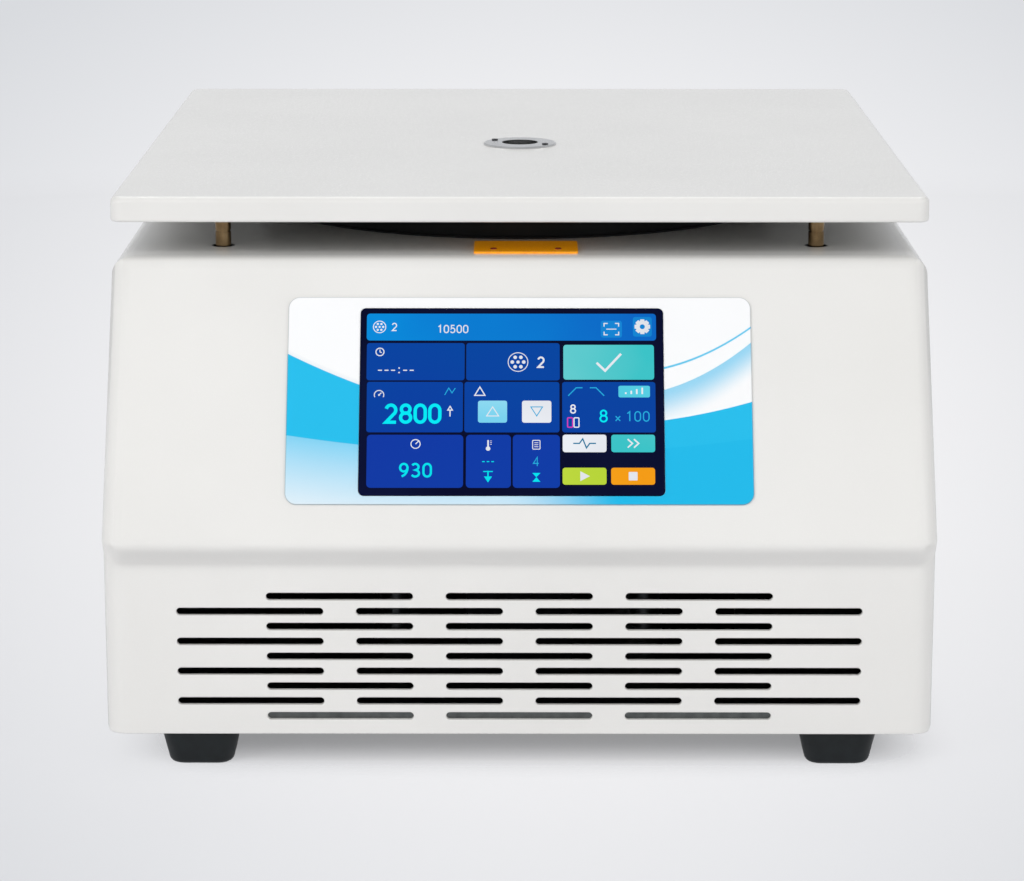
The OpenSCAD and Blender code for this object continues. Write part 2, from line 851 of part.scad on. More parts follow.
module foot_screws() {
    color(steel) feet_places() {
        translate([0, 0, foot_recess_h]) mirror([0, 0, 1]) socket_head(foot_screw_r, foot_screw_h);
        translate([0, 0, foot_recess_h]) cylinder(h = foot_h - foot_recess_h, r = foot_screw_r / 2);
    }
}

// ---- Chamber ----

// Half of the bowl's outline, for a wall drawn out by t
module bowl_side(t) {
    r = bowl_floor_r + t;
    translate([0, bowl_z - t]) {
        square([bowl_r + t - r, deck_z - bowl_z + t + bowl_t]);
        translate([0, r]) square([bowl_r + t, deck_z - bowl_z + t + bowl_t - r]);
        intersection() {
            translate([bowl_r + t - r, r]) circle(r);
            square([bowl_r + t, r]);
        }
    }
}

module bowl() {
    color(steel) on_axis() rotate_extrude() difference() {
        union() {
            bowl_side(bowl_t);
            translate([bowl_r, deck_z]) square([bowl_rim_r - bowl_r, bowl_t]);
        }
        bowl_side(0);
        translate([0, deck_z]) square([bowl_r, 2 * cut + bowl_t]);
        translate([0, bowl_z - 2 * bowl_t]) square([boot_hole_r, 4 * bowl_t]);
    }
}

module guard_ring() {
    w = guard_window_w;
    color(zinc) on_axis(tray_z) difference() {
        ring(guard_r, guard_r - guard_t, under_deck_z - tray_z);
        around(guard_windows, guard_r, 180 / guard_windows) {
            translate([0, 0, w / 2 - cut]) cube([4 * guard_t, w, w], center = true);
            translate([0, 0, w - cut]) rotate([0, 90, 0])
                cylinder(h = 4 * guard_t, r = w / 2, center = true);
        }
    }
}

// The seal's section: a flat foot on the bowl's rim, a web and a round bead under the lid
module chamber_seal() {
    color(rubber) on_axis(deck_z + bowl_t) rotate_extrude() translate([seal_r - seal_w, 0]) {
        square([seal_w, seal_foot_t]);
        translate([seal_w - seal_web_w, 0]) square([seal_web_w, seal_h - seal_bead_r]);
        translate([seal_w - seal_bead_r, seal_h - seal_bead_r]) circle(seal_bead_r);
    }
}

// Rubber bellows between the bowl's floor and the motor's neck, clipped into the floor's hole
module shaft_boot() {
    skirt_z = bowl_z - bowl_t - boot_t;
    grip_z = neck_z - boot_grip;
    color(rubber) on_axis() rotate_extrude() {
        translate([boot_hole_r - boot_lip, bowl_z]) square([2 * boot_lip, boot_t]);
        translate([boot_hole_r - boot_lip, skirt_z]) square([boot_lip, bowl_z + boot_t - skirt_z]);
        translate([neck_r, skirt_z]) square([boot_hole_r + boot_lip - neck_r, boot_t]);
        translate([neck_r, grip_z]) square([boot_t, skirt_z + boot_t - grip_z]);
    }
}

// ---- Motor and what carries it ----

module motor_pillars() {
    color(zinc) on_axis(tray_z) at_corners(damper_offset, damper_offset)
        cylinder(h = damper_z - tray_z, r = pillar_r);
}

module motor_dampers() {
    color(rubber) on_axis(damper_z) at_corners(damper_offset, damper_offset) rotate_extrude() difference() {
        square([damper_r, damper_h]);
        translate([damper_r + damper_h / 2 - damper_waist, damper_h / 2]) circle(damper_h / 2);
    }
}

module motor_plate() {
    color(zinc) on_axis(mount_z) difference() {
        linear_extrude(mount_t) rounded_rect(mount_w, mount_w, damper_r);
        translate([0, 0, -cut]) cylinder(h = mount_t + 2 * cut, r = motor_r + mount_play + play);
    }
}

module motor_case() {
    z = motor_z + bell_h;
    color(alloy) on_axis() difference() {
        union() {
            translate([0, 0, z]) cylinder(h = cap_z - z, r = motor_r);
            translate([0, 0, flange_z]) cylinder(h = flange_t, r = flange_r);
            translate([0, 0, z + rib_gap]) around(motor_ribs, motor_r - cut)
                translate([0, -rib_w / 2, 0]) cube([rib_w + cut, rib_w, mount_z - z - 2 * rib_gap]);
        }
        translate([0, 0, z - cut]) cylinder(h = cap_z - z + 2 * cut, r = stator_r);
    }
}

// The motor's upper end, with the neck that holds the upper bearing
module motor_cap() {
    color(alloy) on_axis(cap_z) difference() {
        union() {
            cylinder(h = cap_t, r = motor_r);
            cylinder(h = neck_z - cap_z, r = neck_r);
        }
        translate([0, 0, -cut]) cylinder(h = bearing_w + cut, r = bearing_r);
        translate([0, 0, -cut]) cylinder(h = deck_z, r = shaft_r + shaft_play);
    }
}

module motor_bell() {
    color(alloy) on_axis(motor_z) difference() {
        union() {
            cylinder(h = bell_h, r = motor_r);
            cylinder(h = bell_h + spigot_h, r = stator_r);
        }
        translate([0, 0, bell_floor]) cylinder(h = bell_h, r = stator_r - bearing_seat);
        translate([0, 0, -cut]) cylinder(h = 2 * bell_h, r = shaft_r + shaft_play);
    }
    color(alloy) on_axis(motor_z + bell_floor) ring(bearing_r + bearing_seat, bearing_r, bearing_w);
}

module motor_screws() {
    color(steel) on_axis(flange_z + flange_t) around(4, motor_r + flange_w / 2, 45)
        socket_head(motor_screw_r, motor_screw_r);
}

module stator() {
    low_z = motor_z + bell_h + spigot_h;
    out_r = stator_r - winding_wall;
    in_r = core_bore_r + winding_wall;
    color(copper) on_axis() {
        translate([0, 0, core_z]) difference() {
            ring(stator_r, core_bore_r, core_h);
            around(stator_slots, core_bore_r + 2 * stator_slot_r, 180 / stator_slots)
                translate([0, 0, -cut]) cylinder(h = core_h + 2 * cut, r = stator_slot_r);
        }
        translate([0, 0, low_z]) ring(out_r, in_r, core_z - low_z);
        translate([0, 0, core_z + core_h]) ring(out_r, in_r, winding_h);
    }
}

// A sealed ball bearing: the outer race with a shield each side, let in a little, and the inner race
module sealed_bearing(z) {
    color(steel) on_axis(z) {
        ring(bearing_r, bearing_r - race_t, bearing_w);
        for (up = [shield_t / 2, bearing_w - 1.5 * shield_t]) translate([0, 0, up])
            ring(bearing_r - race_t / 2, shaft_r + race_t - slip, shield_t);
        ring(shaft_r + race_t, shaft_r + slip, bearing_w);
    }
}

module upper_bearing() {
    sealed_bearing(cap_z);
}

module lower_bearing() {
    sealed_bearing(motor_z + bell_floor);
}

module motor_shaft() {
    low_z = motor_z + shaft_low;
    stud_h = knob_floor_h + knob_h - knob_roof - stud_gap;
    color(steel) on_axis() {
        translate([0, 0, low_z]) cylinder(h = rotor_z - hub_t - low_z, r = shaft_r);
        translate([0, 0, rotor_z - hub_t]) cylinder(h = hub_t, r = hub_r);
        translate([0, 0, rotor_z]) cylinder(h = knob_floor_h - stud_gap, r = shaft_seat_r);
        translate([0, 0, rotor_z]) cylinder(h = stud_h, r = stud_r);
    }
}

module motor_core() {
    color(zinc) on_axis(core_z) ring(core_r, shaft_r, core_h);
}

// ---- Rotor ----

module tube_bores() {
    around(tube_count) translate([tube_base_r, 0, tube_base_h]) rotate([0, -tube_lean, 0]) {
        rotate_extrude() {
            square([tube_r, 2 * tube_depth]);
            intersection() {
                circle(tube_r);
                translate([0, tube_flat - tube_r]) square(tube_r);
            }
        }
        translate([0, 0, tube_depth]) cylinder(h = tube_depth, r = tube_r + tube_lip);
    }
}

module rotor_head() {
    color(alloy) on_axis(rotor_z) difference() {
        rotate_extrude() polygon([
            [0, 0], [rotor_r - rotor_chamfer, 0], [rotor_r, rotor_chamfer], [rotor_r, rotor_skirt_h],
            [dish_out_r + rim_w, rim_h], [dish_out_r, rim_h], [dish_in_r, dish_in_h],
            [knob_recess_r, dish_in_h], [knob_recess_r, knob_floor_h], [0, knob_floor_h]
        ]);
        tube_bores();
        rotate_extrude() polygon([
            [relief_in_r, -cut], [relief_out_r, -cut], [relief_out_r, 0],
            [relief_top_out_r, relief_h], [relief_top_in_r, relief_h], [relief_in_r, rotor_skirt_h]
        ]);
        translate([0, 0, -cut]) cylinder(h = 2 * knob_floor_h, r = shaft_seat_r + slip);
    }
}

module rotor_knob() {
    color(black) on_axis(rotor_z + knob_floor_h) difference() {
        rotate_extrude()
            rounded_outline([[0, 0], [knob_r, 0], [knob_r, knob_h], [0, knob_h]], [0, 0, knob_round, 0]);
        around(knob_lobes, knob_r + knob_lobe_out)
            translate([0, 0, knob_lobe_up]) cylinder(h = knob_h, r = knob_lobe_r);
        translate([0, 0, -cut]) cylinder(h = knob_h - knob_roof + cut, r = stud_r + slip);
    }
}

// ---- Control panel ----

module overlay() {
    color("white") on_panel() translate([0, -overlay_drop, 0]) linear_extrude(overlay_t) difference() {
        rounded_rect(overlay_w, overlay_h, overlay_r);
        translate([-glass_left, overlay_drop - glass_drop])
            rounded_rect(glass_w + 2 * hair, glass_h + 2 * hair, glass_corner_r + hair);
    }
}

module touch_glass() {
    color(screen_blue) on_panel() translate([-glass_left, -glass_drop, 0])
        linear_extrude(glass_t) rounded_rect(glass_w, glass_h, glass_corner_r);
}

module display_module() {
    color(zinc) on_panel() translate([-glass_left, -glass_drop, -module_depth / 2]) difference() {
        cube([module_w, module_h, module_depth], center = true);
        translate([0, 0, -module_depth / 2])
            cube([module_w - 2 * module_rim, module_h - 2 * module_rim, 2 * module_pocket], center = true);
    }
}

module board_spacers() {
    color(brass) on_panel() translate([-glass_left, -glass_drop, -module_depth - board_gap])
        at_corners(module_w / 2 - spacer_r - play, module_h / 2 - spacer_r - play)
            cylinder(h = board_gap, r = spacer_r);
}

module main_board() {
    color(board_green) on_panel()
        translate([-glass_left, -glass_drop, -module_depth - board_gap - board_t]) {
        translate([-module_w / 2, -module_h / 2, 0]) cube([module_w, module_h, board_t]);
        for (side = [-1, 1]) translate([side * chip_offset, chip_up, -chip_h / 2])
            cube([chip_w, chip_w, chip_h], center = true);
        for (i = [-2 : 2]) translate([i * capacitor_pitch, -capacitor_down, -capacitor_h])
            cylinder(h = capacitor_h, r = capacitor_r);
        translate([plug_w / 2 - module_w / 2, -plug_l / 2, -plug_h]) cube([plug_w, plug_l, plug_h]);
    }
}

module drive_board() {
    color(board_green) translate([board_x, board_y, tray_z]) {
        at_corners(board_w / 2 - post_inset, board_d / 2 - post_inset) cylinder(h = post_h, r = post_r);
        translate([-board_w / 2, -board_d / 2, post_h]) cube([board_w, board_d, board_t]);
        for (i = [-1 : 1]) translate([drive_cap_x, i * drive_cap_pitch, post_h])
            cylinder(h = drive_cap_h, r = drive_cap_r);
        translate([relay_x, -relay_l / 2, post_h]) cube([relay_w, relay_l, relay_h]);
    }
}

module heatsink() {
    x = board_x - board_w / 2 + sink_inset;
    color(alloy) translate([x, board_y - sink_l / 2, tray_z + post_h + board_t]) {
        cube([sink_w, sink_l, sink_base_t]);
        for (out = [0 : fin_pitch : sink_w - fin_t]) translate([out, 0, 0]) cube([fin_t, sink_l, sink_h]);
    }
}

module deck_plate() {
    color(yellow) translate([label_right, label_rear_y - label_d / 2, deck_z])
        linear_extrude(label_t) rounded_rect(label_w, label_d, label_corner_r);
}

module plate_rivets() {
    color("firebrick") translate([label_right, lid_y + label_setback + rivet_inset, deck_z + label_t])
        both_sides() translate([rivet_offset, 0, 0]) cylinder(h = rivet_h, r = rivet_r);
}

// ---- Locks: a magnet draws each bolt, which straddles the neck of its pin ----

// Places children at the right lock, or mirrored at the left one; x runs out from the middle
module lock_side(left) {
    mirror([left ? 1 : 0, 0, 0]) translate([pin_x, pin_y, 0]) children();
}

module lock_frames() {
    color(zinc) for (left = [true, false]) lock_side(left) difference() {
        translate([-lock_frame_in, -lock_frame_w / 2, under_deck_z - lock_frame_h])
            cube([lock_frame_in + lock_frame_out, lock_frame_w, lock_frame_h]);
        translate([0, 0, deck_z / 2]) cylinder(h = deck_z, r = lock_bore_r);
        translate([-lock_frame_in - cut, -bolt_w / 2 - hair / 2, bolt_z - bolt_t / 2 - hair / 2])
            cube([lock_frame_in + lock_slot_out + cut, bolt_w + hair, bolt_t + hair]);
    }
}

module lock_coils() {
    color(copper) for (left = [true, false]) lock_side(left)
        translate([-lock_frame_in, 0, bolt_z]) rotate([0, -90, 0]) ring(coil_r, plunger_r + slip, coil_l);
}

// A bolt plate with a forked tip and its plunger, at rest clear of the pin
module lock_bolt(left) {
    slot_w = 2 * pin_neck_r + bolt_play;
    color(steel) lock_side(left) translate([-bolt_rest, 0, bolt_z]) {
        difference() {
            translate([-bolt_l, -bolt_w / 2, -bolt_t / 2]) cube([bolt_l, bolt_w, bolt_t]);
            translate([-bolt_travel + bolt_rest, 0, 0]) {
                cylinder(h = 2 * bolt_t, d = slot_w, center = true);
                translate([0, -slot_w / 2, -bolt_t]) cube([2 * bolt_travel, slot_w, 2 * bolt_t]);
            }
        }
        translate([-bolt_l, 0, 0]) rotate([0, -90, 0]) cylinder(h = coil_l + bolt_travel, r = plunger_r);
    }
}

module left_bolt() {
    lock_bolt(true);
}

module right_bolt() {
    lock_bolt(false);
}

module pin_bushes() {
    color(black) both_sides() translate([pin_x, pin_y, under_deck_z]) ring(pin_bush_r, bush_bore_r, wall);
}

module lock_pins() {
    low = deck_z - pin_reach;
    neck_low = bolt_z - pin_neck_h / 2;
    neck_high = bolt_z + pin_neck_h / 2;
    groove_low = deck_z + pin_groove_up;
    groove_high = groove_low + pin_groove_w;
    stud_top = lid_top_z - lid_wall - cut;
    color(brass) both_sides() translate([pin_x, pin_y, 0]) rotate_extrude() polygon([
        [0, low], [pin_r - pin_tip / 2, low], [pin_r, low + pin_tip],
        [pin_r, neck_low], [pin_neck_r, neck_low], [pin_neck_r, neck_high], [pin_r, neck_high],
        [pin_r, groove_low], [pin_r - pin_groove_t, groove_low],
        [pin_r - pin_groove_t, groove_high], [pin_r, groove_high],
        [pin_r, lid_z], [pin_stud_r, lid_z], [pin_stud_r, stud_top], [0, stud_top]
    ]);
}

module pin_nuts() {
    color(steel) both_sides() translate([pin_x, pin_y, liner_z + brace_t]) difference() {
        cylinder(h = nut_h, r = nut_r, $fn = 6);
        translate([0, 0, -cut]) cylinder(h = nut_h + 2 * cut, r = pin_stud_r);
    }
}

// ---- Lid ----

module lid_shell() {
    w = body_w - 2 * lid_wall;
    d = lid_d - 2 * lid_wall;
    inner_r = lid_top_r - lid_wall;
    color(paint) difference() {
        translate([0, lid_mid_y, lid_z])
            rounded_slab(body_w, lid_d, lid_t, lid_corner_r, lid_top_r, lid_bottom_r);
        translate([0, lid_mid_y, lid_z - cut])
            rounded_slab(w, d, lid_t - lid_wall + cut, lid_corner_r - lid_wall, inner_r, play);
        on_axis(lid_z) cylinder(h = 2 * lid_t, r = port_bore_r + port_neck_wall);
    }
}

module lid_liner() {
    gap = lid_wall + hair;
    color(steel) difference() {
        translate([0, lid_mid_y, lid_z]) linear_extrude(liner_t)
            rounded_rect(body_w - 2 * gap, lid_d - 2 * gap, lid_corner_r - lid_wall);
        on_axis(lid_z - cut) cylinder(h = liner_t + 2 * cut, r = port_bore_r);
        both_sides() translate([pin_x, pin_y, lid_z - cut]) cylinder(h = liner_t + 2 * cut, r = pin_stud_r);
    }
}

// Two open channels and two cross bars between the liner and the shell
module lid_brace() {
    h = lid_top_z - lid_wall - liner_z;
    l = lid_d - 2 * lid_wall - 2 * brace_end;
    bar_l = pin_span - brace_w;
    color(zinc) translate([0, lid_mid_y, liner_z]) {
        both_sides() difference() {
            translate([pin_x - brace_w / 2, -l / 2, 0]) cube([brace_w, l, h]);
            translate([pin_x - brace_w / 2 + brace_t, -l / 2 - cut, brace_t])
                cube([brace_w - 2 * brace_t, l + 2 * cut, h]);
            translate([pin_x, pin_y - lid_mid_y, -cut]) cylinder(h = h, r = pin_stud_r);
        }
        for (side = [-1, 1]) translate([0, side * (l / 2 - brace_bar_in), 0]) difference() {
            translate([-bar_l / 2, -brace_w / 2, 0]) cube([bar_l, brace_w, h]);
            translate([-bar_l / 2 - cut, brace_t - brace_w / 2, brace_t])
                cube([bar_l + 2 * cut, brace_w - 2 * brace_t, h]);
        }
    }
}

module port_ring() {
    color(steel) on_axis() rotate_extrude() difference() {
        union() {
            translate([port_bore_r, liner_z])
                square([port_neck_wall, lid_top_z + port_flange_h - liner_z]);
            translate([port_bore_r, lid_top_z])
                square([port_flange_r - port_bore_r, port_flange_h]);
        }
        translate([0, liner_z - cut]) square([port_bore_r + port_seat, port_glass_t + cut]);
        translate([port_flange_r, lid_top_z + port_flange_h]) polygon([
            [-port_chamfer, cut], [-port_chamfer, 0], [0, -port_chamfer], [cut, -port_chamfer], [cut, cut]
        ]);
    }
}

module port_glass() {
    color("lightblue", 0.4) on_axis(liner_z)
        cylinder(h = port_glass_t, r = port_bore_r + port_seat - slip);
}

module port_screws() {
    color(black) on_axis(lid_top_z + port_flange_h) around(2, port_screw_pitch_r, port_screw_turn)
        cylinder(h = port_screw_h, r = port_screw_r);
}

// ---- Hinges ----

module at_hinges() {
    for (side = [-1, 1]) translate([side * hinge_span / 2, hinge_y, hinge_z]) children();
}

// An upright ear round the hinge axis that reaches down to the deck
module hinge_ear(x, w) {
    translate([x, 0, 0]) rotate([0, 90, 0]) cylinder(h = w, r = ear_r);
    translate([x, -ear_r, -hinge_up]) cube([w, 2 * ear_r, hinge_up]);
}

module hinge_blocks() {
    depth = 2 * ear_r + hinge_base_l;
    color(zinc) at_hinges() difference() {
        union() {
            for (x = [-hinge_w / 2, hinge_w / 2 - hinge_ear_w]) hinge_ear(x, hinge_ear_w);
            translate([-hinge_w / 2, ear_r - depth, -hinge_up]) cube([hinge_w, depth, hinge_base_t]);
        }
        rotate([0, 90, 0]) cylinder(h = 2 * hinge_w, r = hinge_pin_r, center = true);
    }
}

module hinge_pins() {
    color(steel) at_hinges() rotate([0, 90, 0]) cylinder(h = hinge_w, r = hinge_pin_r, center = true);
}

// The lid's leaf: a plate under the liner and a knuckle round the pin
module hinge_leaves() {
    low = hinge_ear_w + spring_room - hinge_w / 2;
    w = hinge_w / 2 - hinge_ear_w - hair - low;
    plate_z = lid_gap - hinge_up - hinge_plate_t;
    color(zinc) at_hinges() difference() {
        union() {
            translate([-hinge_w / 2, leaf_rear - hinge_leaf_l, plate_z])
                cube([hinge_w, hinge_leaf_l, hinge_plate_t]);
            translate([low, 0, 0]) rotate([0, 90, 0]) cylinder(h = w, r = ear_r);
            translate([low, -ear_r, 0]) cube([w, 2 * ear_r - cut, plate_z + hinge_plate_t / 2]);
        }
        rotate([0, 90, 0]) cylinder(h = 2 * hinge_w, r = hinge_pin_r + slip, center = true);
    }
}

// Points of a torsion spring: a leg on the block, the turns and a leg under the leaf
function spring_path() =
    let (end_x = spring_pitch * (spring_turns + 0.5))
    let (low_z = spring_wire_r - hinge_up + hinge_base_t)
    let (high_z = lid_gap - hinge_up - hinge_plate_t - spring_wire_r - hair)
    concat(
        [[0, -spring_leg, low_z]],
        [for (i = [0 : spring_steps * (spring_turns + 0.5)]) let (turn = i * 360 / spring_steps)
            [i * spring_pitch / spring_steps, spring_coil_r * sin(turn), -spring_coil_r * cos(turn)]],
        [[end_x, -spring_leg, high_z]]
    );

// A round wire along a path, its section kept upright to the path
module wire(path, r, sides = 6) {
    count = len(path);
    function ahead(i) = unit(path[min(i + 1, count - 1)] - path[max(i - 1, 0)]);
    rings = [for (i = [0 : count - 1])
        let (t = ahead(i), s = unit(cross(t, [1, 0.02, 0.01])), u = cross(s, t))
        for (k = [0 : sides - 1]) path[i] + r * (cos(k * 360 / sides) * s + sin(k * 360 / sides) * u)];
    faces = concat(
        [[for (k = [0 : sides - 1]) sides - 1 - k]],
        [for (i = [0 : count - 2], k = [0 : sides - 1])
            let (a = i * sides + k, b = i * sides + (k + 1) % sides)
            [a, b, b + sides, a + sides]],
        [[for (k = [0 : sides - 1]) (count - 1) * sides + k]]
    );
    polyhedron(rings, faces);
}

module hinge_springs() {
    color(steel) at_hinges() translate([hinge_ear_w - hinge_w / 2 + hair + spring_wire_r, 0, 0])
        wire(spring_path(), spring_wire_r);
}

// ---- Rear panel and what it carries ----

// Places children on the rear panel, x to the right seen from the front. Their own x runs to the left,
// their y up and their z out of the back.
module on_rear(x, z, y = panel_back_y) {
    translate([x, y, z]) rotate([90, 0, 180]) children();
}

module rear_panel() {
    color(paint) difference() {
        on_rear(0, rear_mid_z, back_y) linear_extrude(rear_t) rounded_rect(rear_w, rear_h, rear_corner_r);
        on_rear(-fan_left, fan_up) {
            cylinder(h = 4 * rear_t, r = fan_bore_r, center = true);
            at_fan_screws() cylinder(h = 4 * rear_t, r = fan_screw_r, center = true);
        }
        on_rear(inlet_right, inlet_up)
            cube([inlet_w - 2 * inlet_step + 2 * hair, inlet_h - 2 * inlet_step + 2 * hair, 4 * rear_t],
                center = true);
        on_rear(inlet_right, switch_up)
            cube([switch_w - 2 * switch_step + 2 * hair, switch_h - 2 * switch_step + 2 * hair, 4 * rear_t],
                center = true);
        for (row = [-4 : 4], side = [-1, 1])
            on_rear(rear_slot_x + side * rear_slot_offset, fan_up + row * rear_slot_pitch)
                linear_extrude(4 * rear_t, center = true) slot_outline(rear_slot_l, rear_slot_w);
    }
}

// Places children at the four screws of the fan
module at_fan_screws() {
    at_corners(fan_w / 2 - fan_screw_inset, fan_w / 2 - fan_screw_inset) children();
}

// Screws round the rear panel, and those that hold the fan and its guard
module rear_screws() {
    x = (rear_w - rear_margin) / 2;
    z = (rear_h - rear_margin) / 2;
    color(steel) {
        for (i = [0 : 3], side = [-1, 1]) on_rear((2 * i / 3 - 1) * x, rear_mid_z + side * z)
            cylinder(h = rear_screw_h, r = rear_screw_r);
        on_rear(-fan_left, fan_up) at_fan_screws() {
            translate([0, 0, 2 * guard_wire_r]) cylinder(h = rear_screw_h, r = rear_screw_r);
            translate([0, 0, -rear_t - fan_flange_t])
                cylinder(h = rear_t + fan_flange_t + 2 * guard_wire_r, r = fan_screw_r - slip);
        }
    }
}

module fan_frame() {
    color(black) on_rear(-fan_left, fan_up, back_y) mirror([0, 0, 1]) difference() {
        union() {
            difference() {
                linear_extrude(fan_d) rounded_rect(fan_w, fan_w, fan_corner_r);
                translate([0, 0, -cut]) cylinder(h = fan_d + 2 * cut, r = fan_bore_r);
                translate([0, 0, fan_flange_t]) linear_extrude(fan_d - 2 * fan_flange_t) difference() {
                    square(2 * fan_w, center = true);
                    circle(fan_bore_r + fan_shell);
                }
            }
            translate([0, 0, fan_d - fan_motor_h]) cylinder(h = fan_motor_h, r = fan_hub_r - cut);
            translate([0, 0, fan_d - fan_pin_h]) cylinder(h = fan_pin_h, r = fan_pin_r);
            around(4, 0, fan_arm_turn) translate([0, -fan_arm_w / 2, fan_d - fan_flange_t])
                cube([fan_bore_r + cut, fan_arm_w, fan_flange_t]);
        }
        at_fan_screws() translate([0, 0, -cut]) cylinder(h = fan_d + 2 * cut, r = fan_screw_r);
    }
}

module fan_wheel() {
    h = fan_wheel_h;
    color(black) on_rear(-fan_left, fan_up, back_y) mirror([0, 0, 1]) translate([0, 0, cut]) difference() {
        union() {
            cylinder(h = h, r = fan_hub_r);
            intersection() {
                ring(fan_tip_r, fan_hub_r - 2, h);
                around(fan_blades) translate([0, 0, h / 2]) rotate([fan_blade_tilt, 0, 0])
                    cube([2 * fan_tip_r, fan_blade_t, 2 * h], center = true);
            }
        }
        translate([0, 0, fan_cap_t]) cylinder(h = fan_d, r = fan_pin_r + slip);
    }
}

// Wire guard: rings welded on two crossed spokes, which end in eyes over the fan's screw holes
module fan_guard() {
    r = guard_wire_r;
    color(steel) on_rear(-fan_left, fan_up) {
        for (ring_r = [fan_bore_r : -guard_ring_pitch : guard_ring_pitch])
            translate([0, 0, 3 * r - hair]) rotate_extrude() translate([ring_r, 0]) circle(r);
        for (turn = [45, 135]) rotate(turn) translate([0, 0, r]) rotate([0, 90, 0])
            cylinder(h = guard_span, r = r, center = true);
        at_fan_screws() ring(guard_eye_r, fan_screw_r, 2 * r);
    }
}

// A socket's outline with two chamfered upper corners
module socket_outline() {
    w = socket_w / 2;
    h = socket_h / 2;
    c = socket_chamfer;
    polygon([[-w, -h], [w, -h], [w, h - c], [w - c, h], [c - w, h], [-w, h - c]]);
}

module power_inlet() {
    w = inlet_w - 2 * inlet_step;
    h = inlet_h - 2 * inlet_step;
    floor_z = inlet_flange_t - socket_d;
    color(black) on_rear(inlet_right, inlet_up) difference() {
        union() {
            linear_extrude(inlet_flange_t) rounded_rect(inlet_w, inlet_h, inlet_step / 2);
            translate([0, 0, -socket_d]) linear_extrude(socket_d) rounded_rect(w, h, inlet_step / 4);
        }
        translate([0, socket_up, floor_z]) linear_extrude(socket_d + cut) socket_outline();
        translate([0, -drawer_down, inlet_flange_t - drawer_d]) linear_extrude(drawer_d + cut)
            square([drawer_w + 2 * hair, drawer_h + 2 * hair], center = true);
    }
    color(steel) on_rear(inlet_right, inlet_up) translate([0, socket_up, floor_z + blade_l / 2]) {
        for (x = [-blade_x, blade_x]) translate([x, -blade_w / 2, 0])
            cube([blade_t, blade_w, blade_l], center = true);
        translate([0, blade_w / 2, 0]) cube([blade_t, blade_w, blade_l], center = true);
    }
}

module fuse_drawer() {
    color(black) on_rear(inlet_right, inlet_up) translate([0, -drawer_down, inlet_flange_t]) difference() {
        translate([0, 0, -drawer_d]) linear_extrude(drawer_d + drawer_proud)
            square([drawer_w, drawer_h], center = true);
        linear_extrude(2 * drawer_proud) square([grip_w, grip_h], center = true);
    }
}

module switch_frame() {
    w = switch_w - 2 * switch_step;
    h = switch_h - 2 * switch_step;
    color(black) on_rear(inlet_right, switch_up) difference() {
        union() {
            linear_extrude(switch_step) rounded_rect(switch_w, switch_h, switch_step);
            translate([0, 0, -switch_d]) linear_extrude(switch_d) square([w, h], center = true);
        }
        translate([0, 0, switch_step - switch_d]) linear_extrude(2 * switch_d)
            square([rocker_w + 2 * hair, 2 * norm([rocker_h / 2, rocker_tip]) + play], center = true);
        translate([0, 0, rocker_y - panel_back_y]) rotate([0, 90, 0])
            cylinder(h = rocker_w + 2 * (trunnion_l + hair), r = trunnion_r + slip, center = true);
    }
}

// The rocker lies on its off side and tilts about the trunnions in its frame
module rocker() {
    h = rocker_h / 2;
    color(black) on_rear(inlet_right, switch_up, rocker_y) rotate([rocker_tilt, 0, 0]) {
        rotate([90, 0, 90]) linear_extrude(rocker_w, center = true) polygon([
            [-h, 0], [-rocker_root, -rocker_depth], [rocker_root, -rocker_depth],
            [h, 0], [h, rocker_tip], [0, rocker_dip], [-h, rocker_tip]
        ]);
        rotate([0, 90, 0]) cylinder(h = rocker_w + 2 * trunnion_l, r = trunnion_r, center = true);
    }
}

housing();
tray();
rear_panel();
rear_screws();
feet();
foot_screws();
bowl();
guard_ring();
chamber_seal();
shaft_boot();
motor_pillars();
motor_dampers();
motor_plate();
motor_case();
motor_cap();
motor_bell();
motor_screws();
stator();
upper_bearing();
lower_bearing();
overlay();
touch_glass();
display_module();
board_spacers();
main_board();
drive_board();
heatsink();
lock_frames();
lock_coils();
pin_bushes();
hinge_blocks();
hinge_pins();
hinge_springs();
fan_frame();
fan_guard();
power_inlet();
switch_frame();
deck_plate();
plate_rivets();
lid_shell();
lid_liner();
lid_brace();
port_ring();
port_glass();
port_screws();
lock_pins();
pin_nuts();
hinge_leaves();
rotor_head();
rotor_knob();
motor_shaft();
motor_core();
fan_wheel();
left_bolt();
right_bolt();
rocker();
fuse_drawer();
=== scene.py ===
import json
import math

import bmesh
import bpy
from mathutils import Matrix, Vector


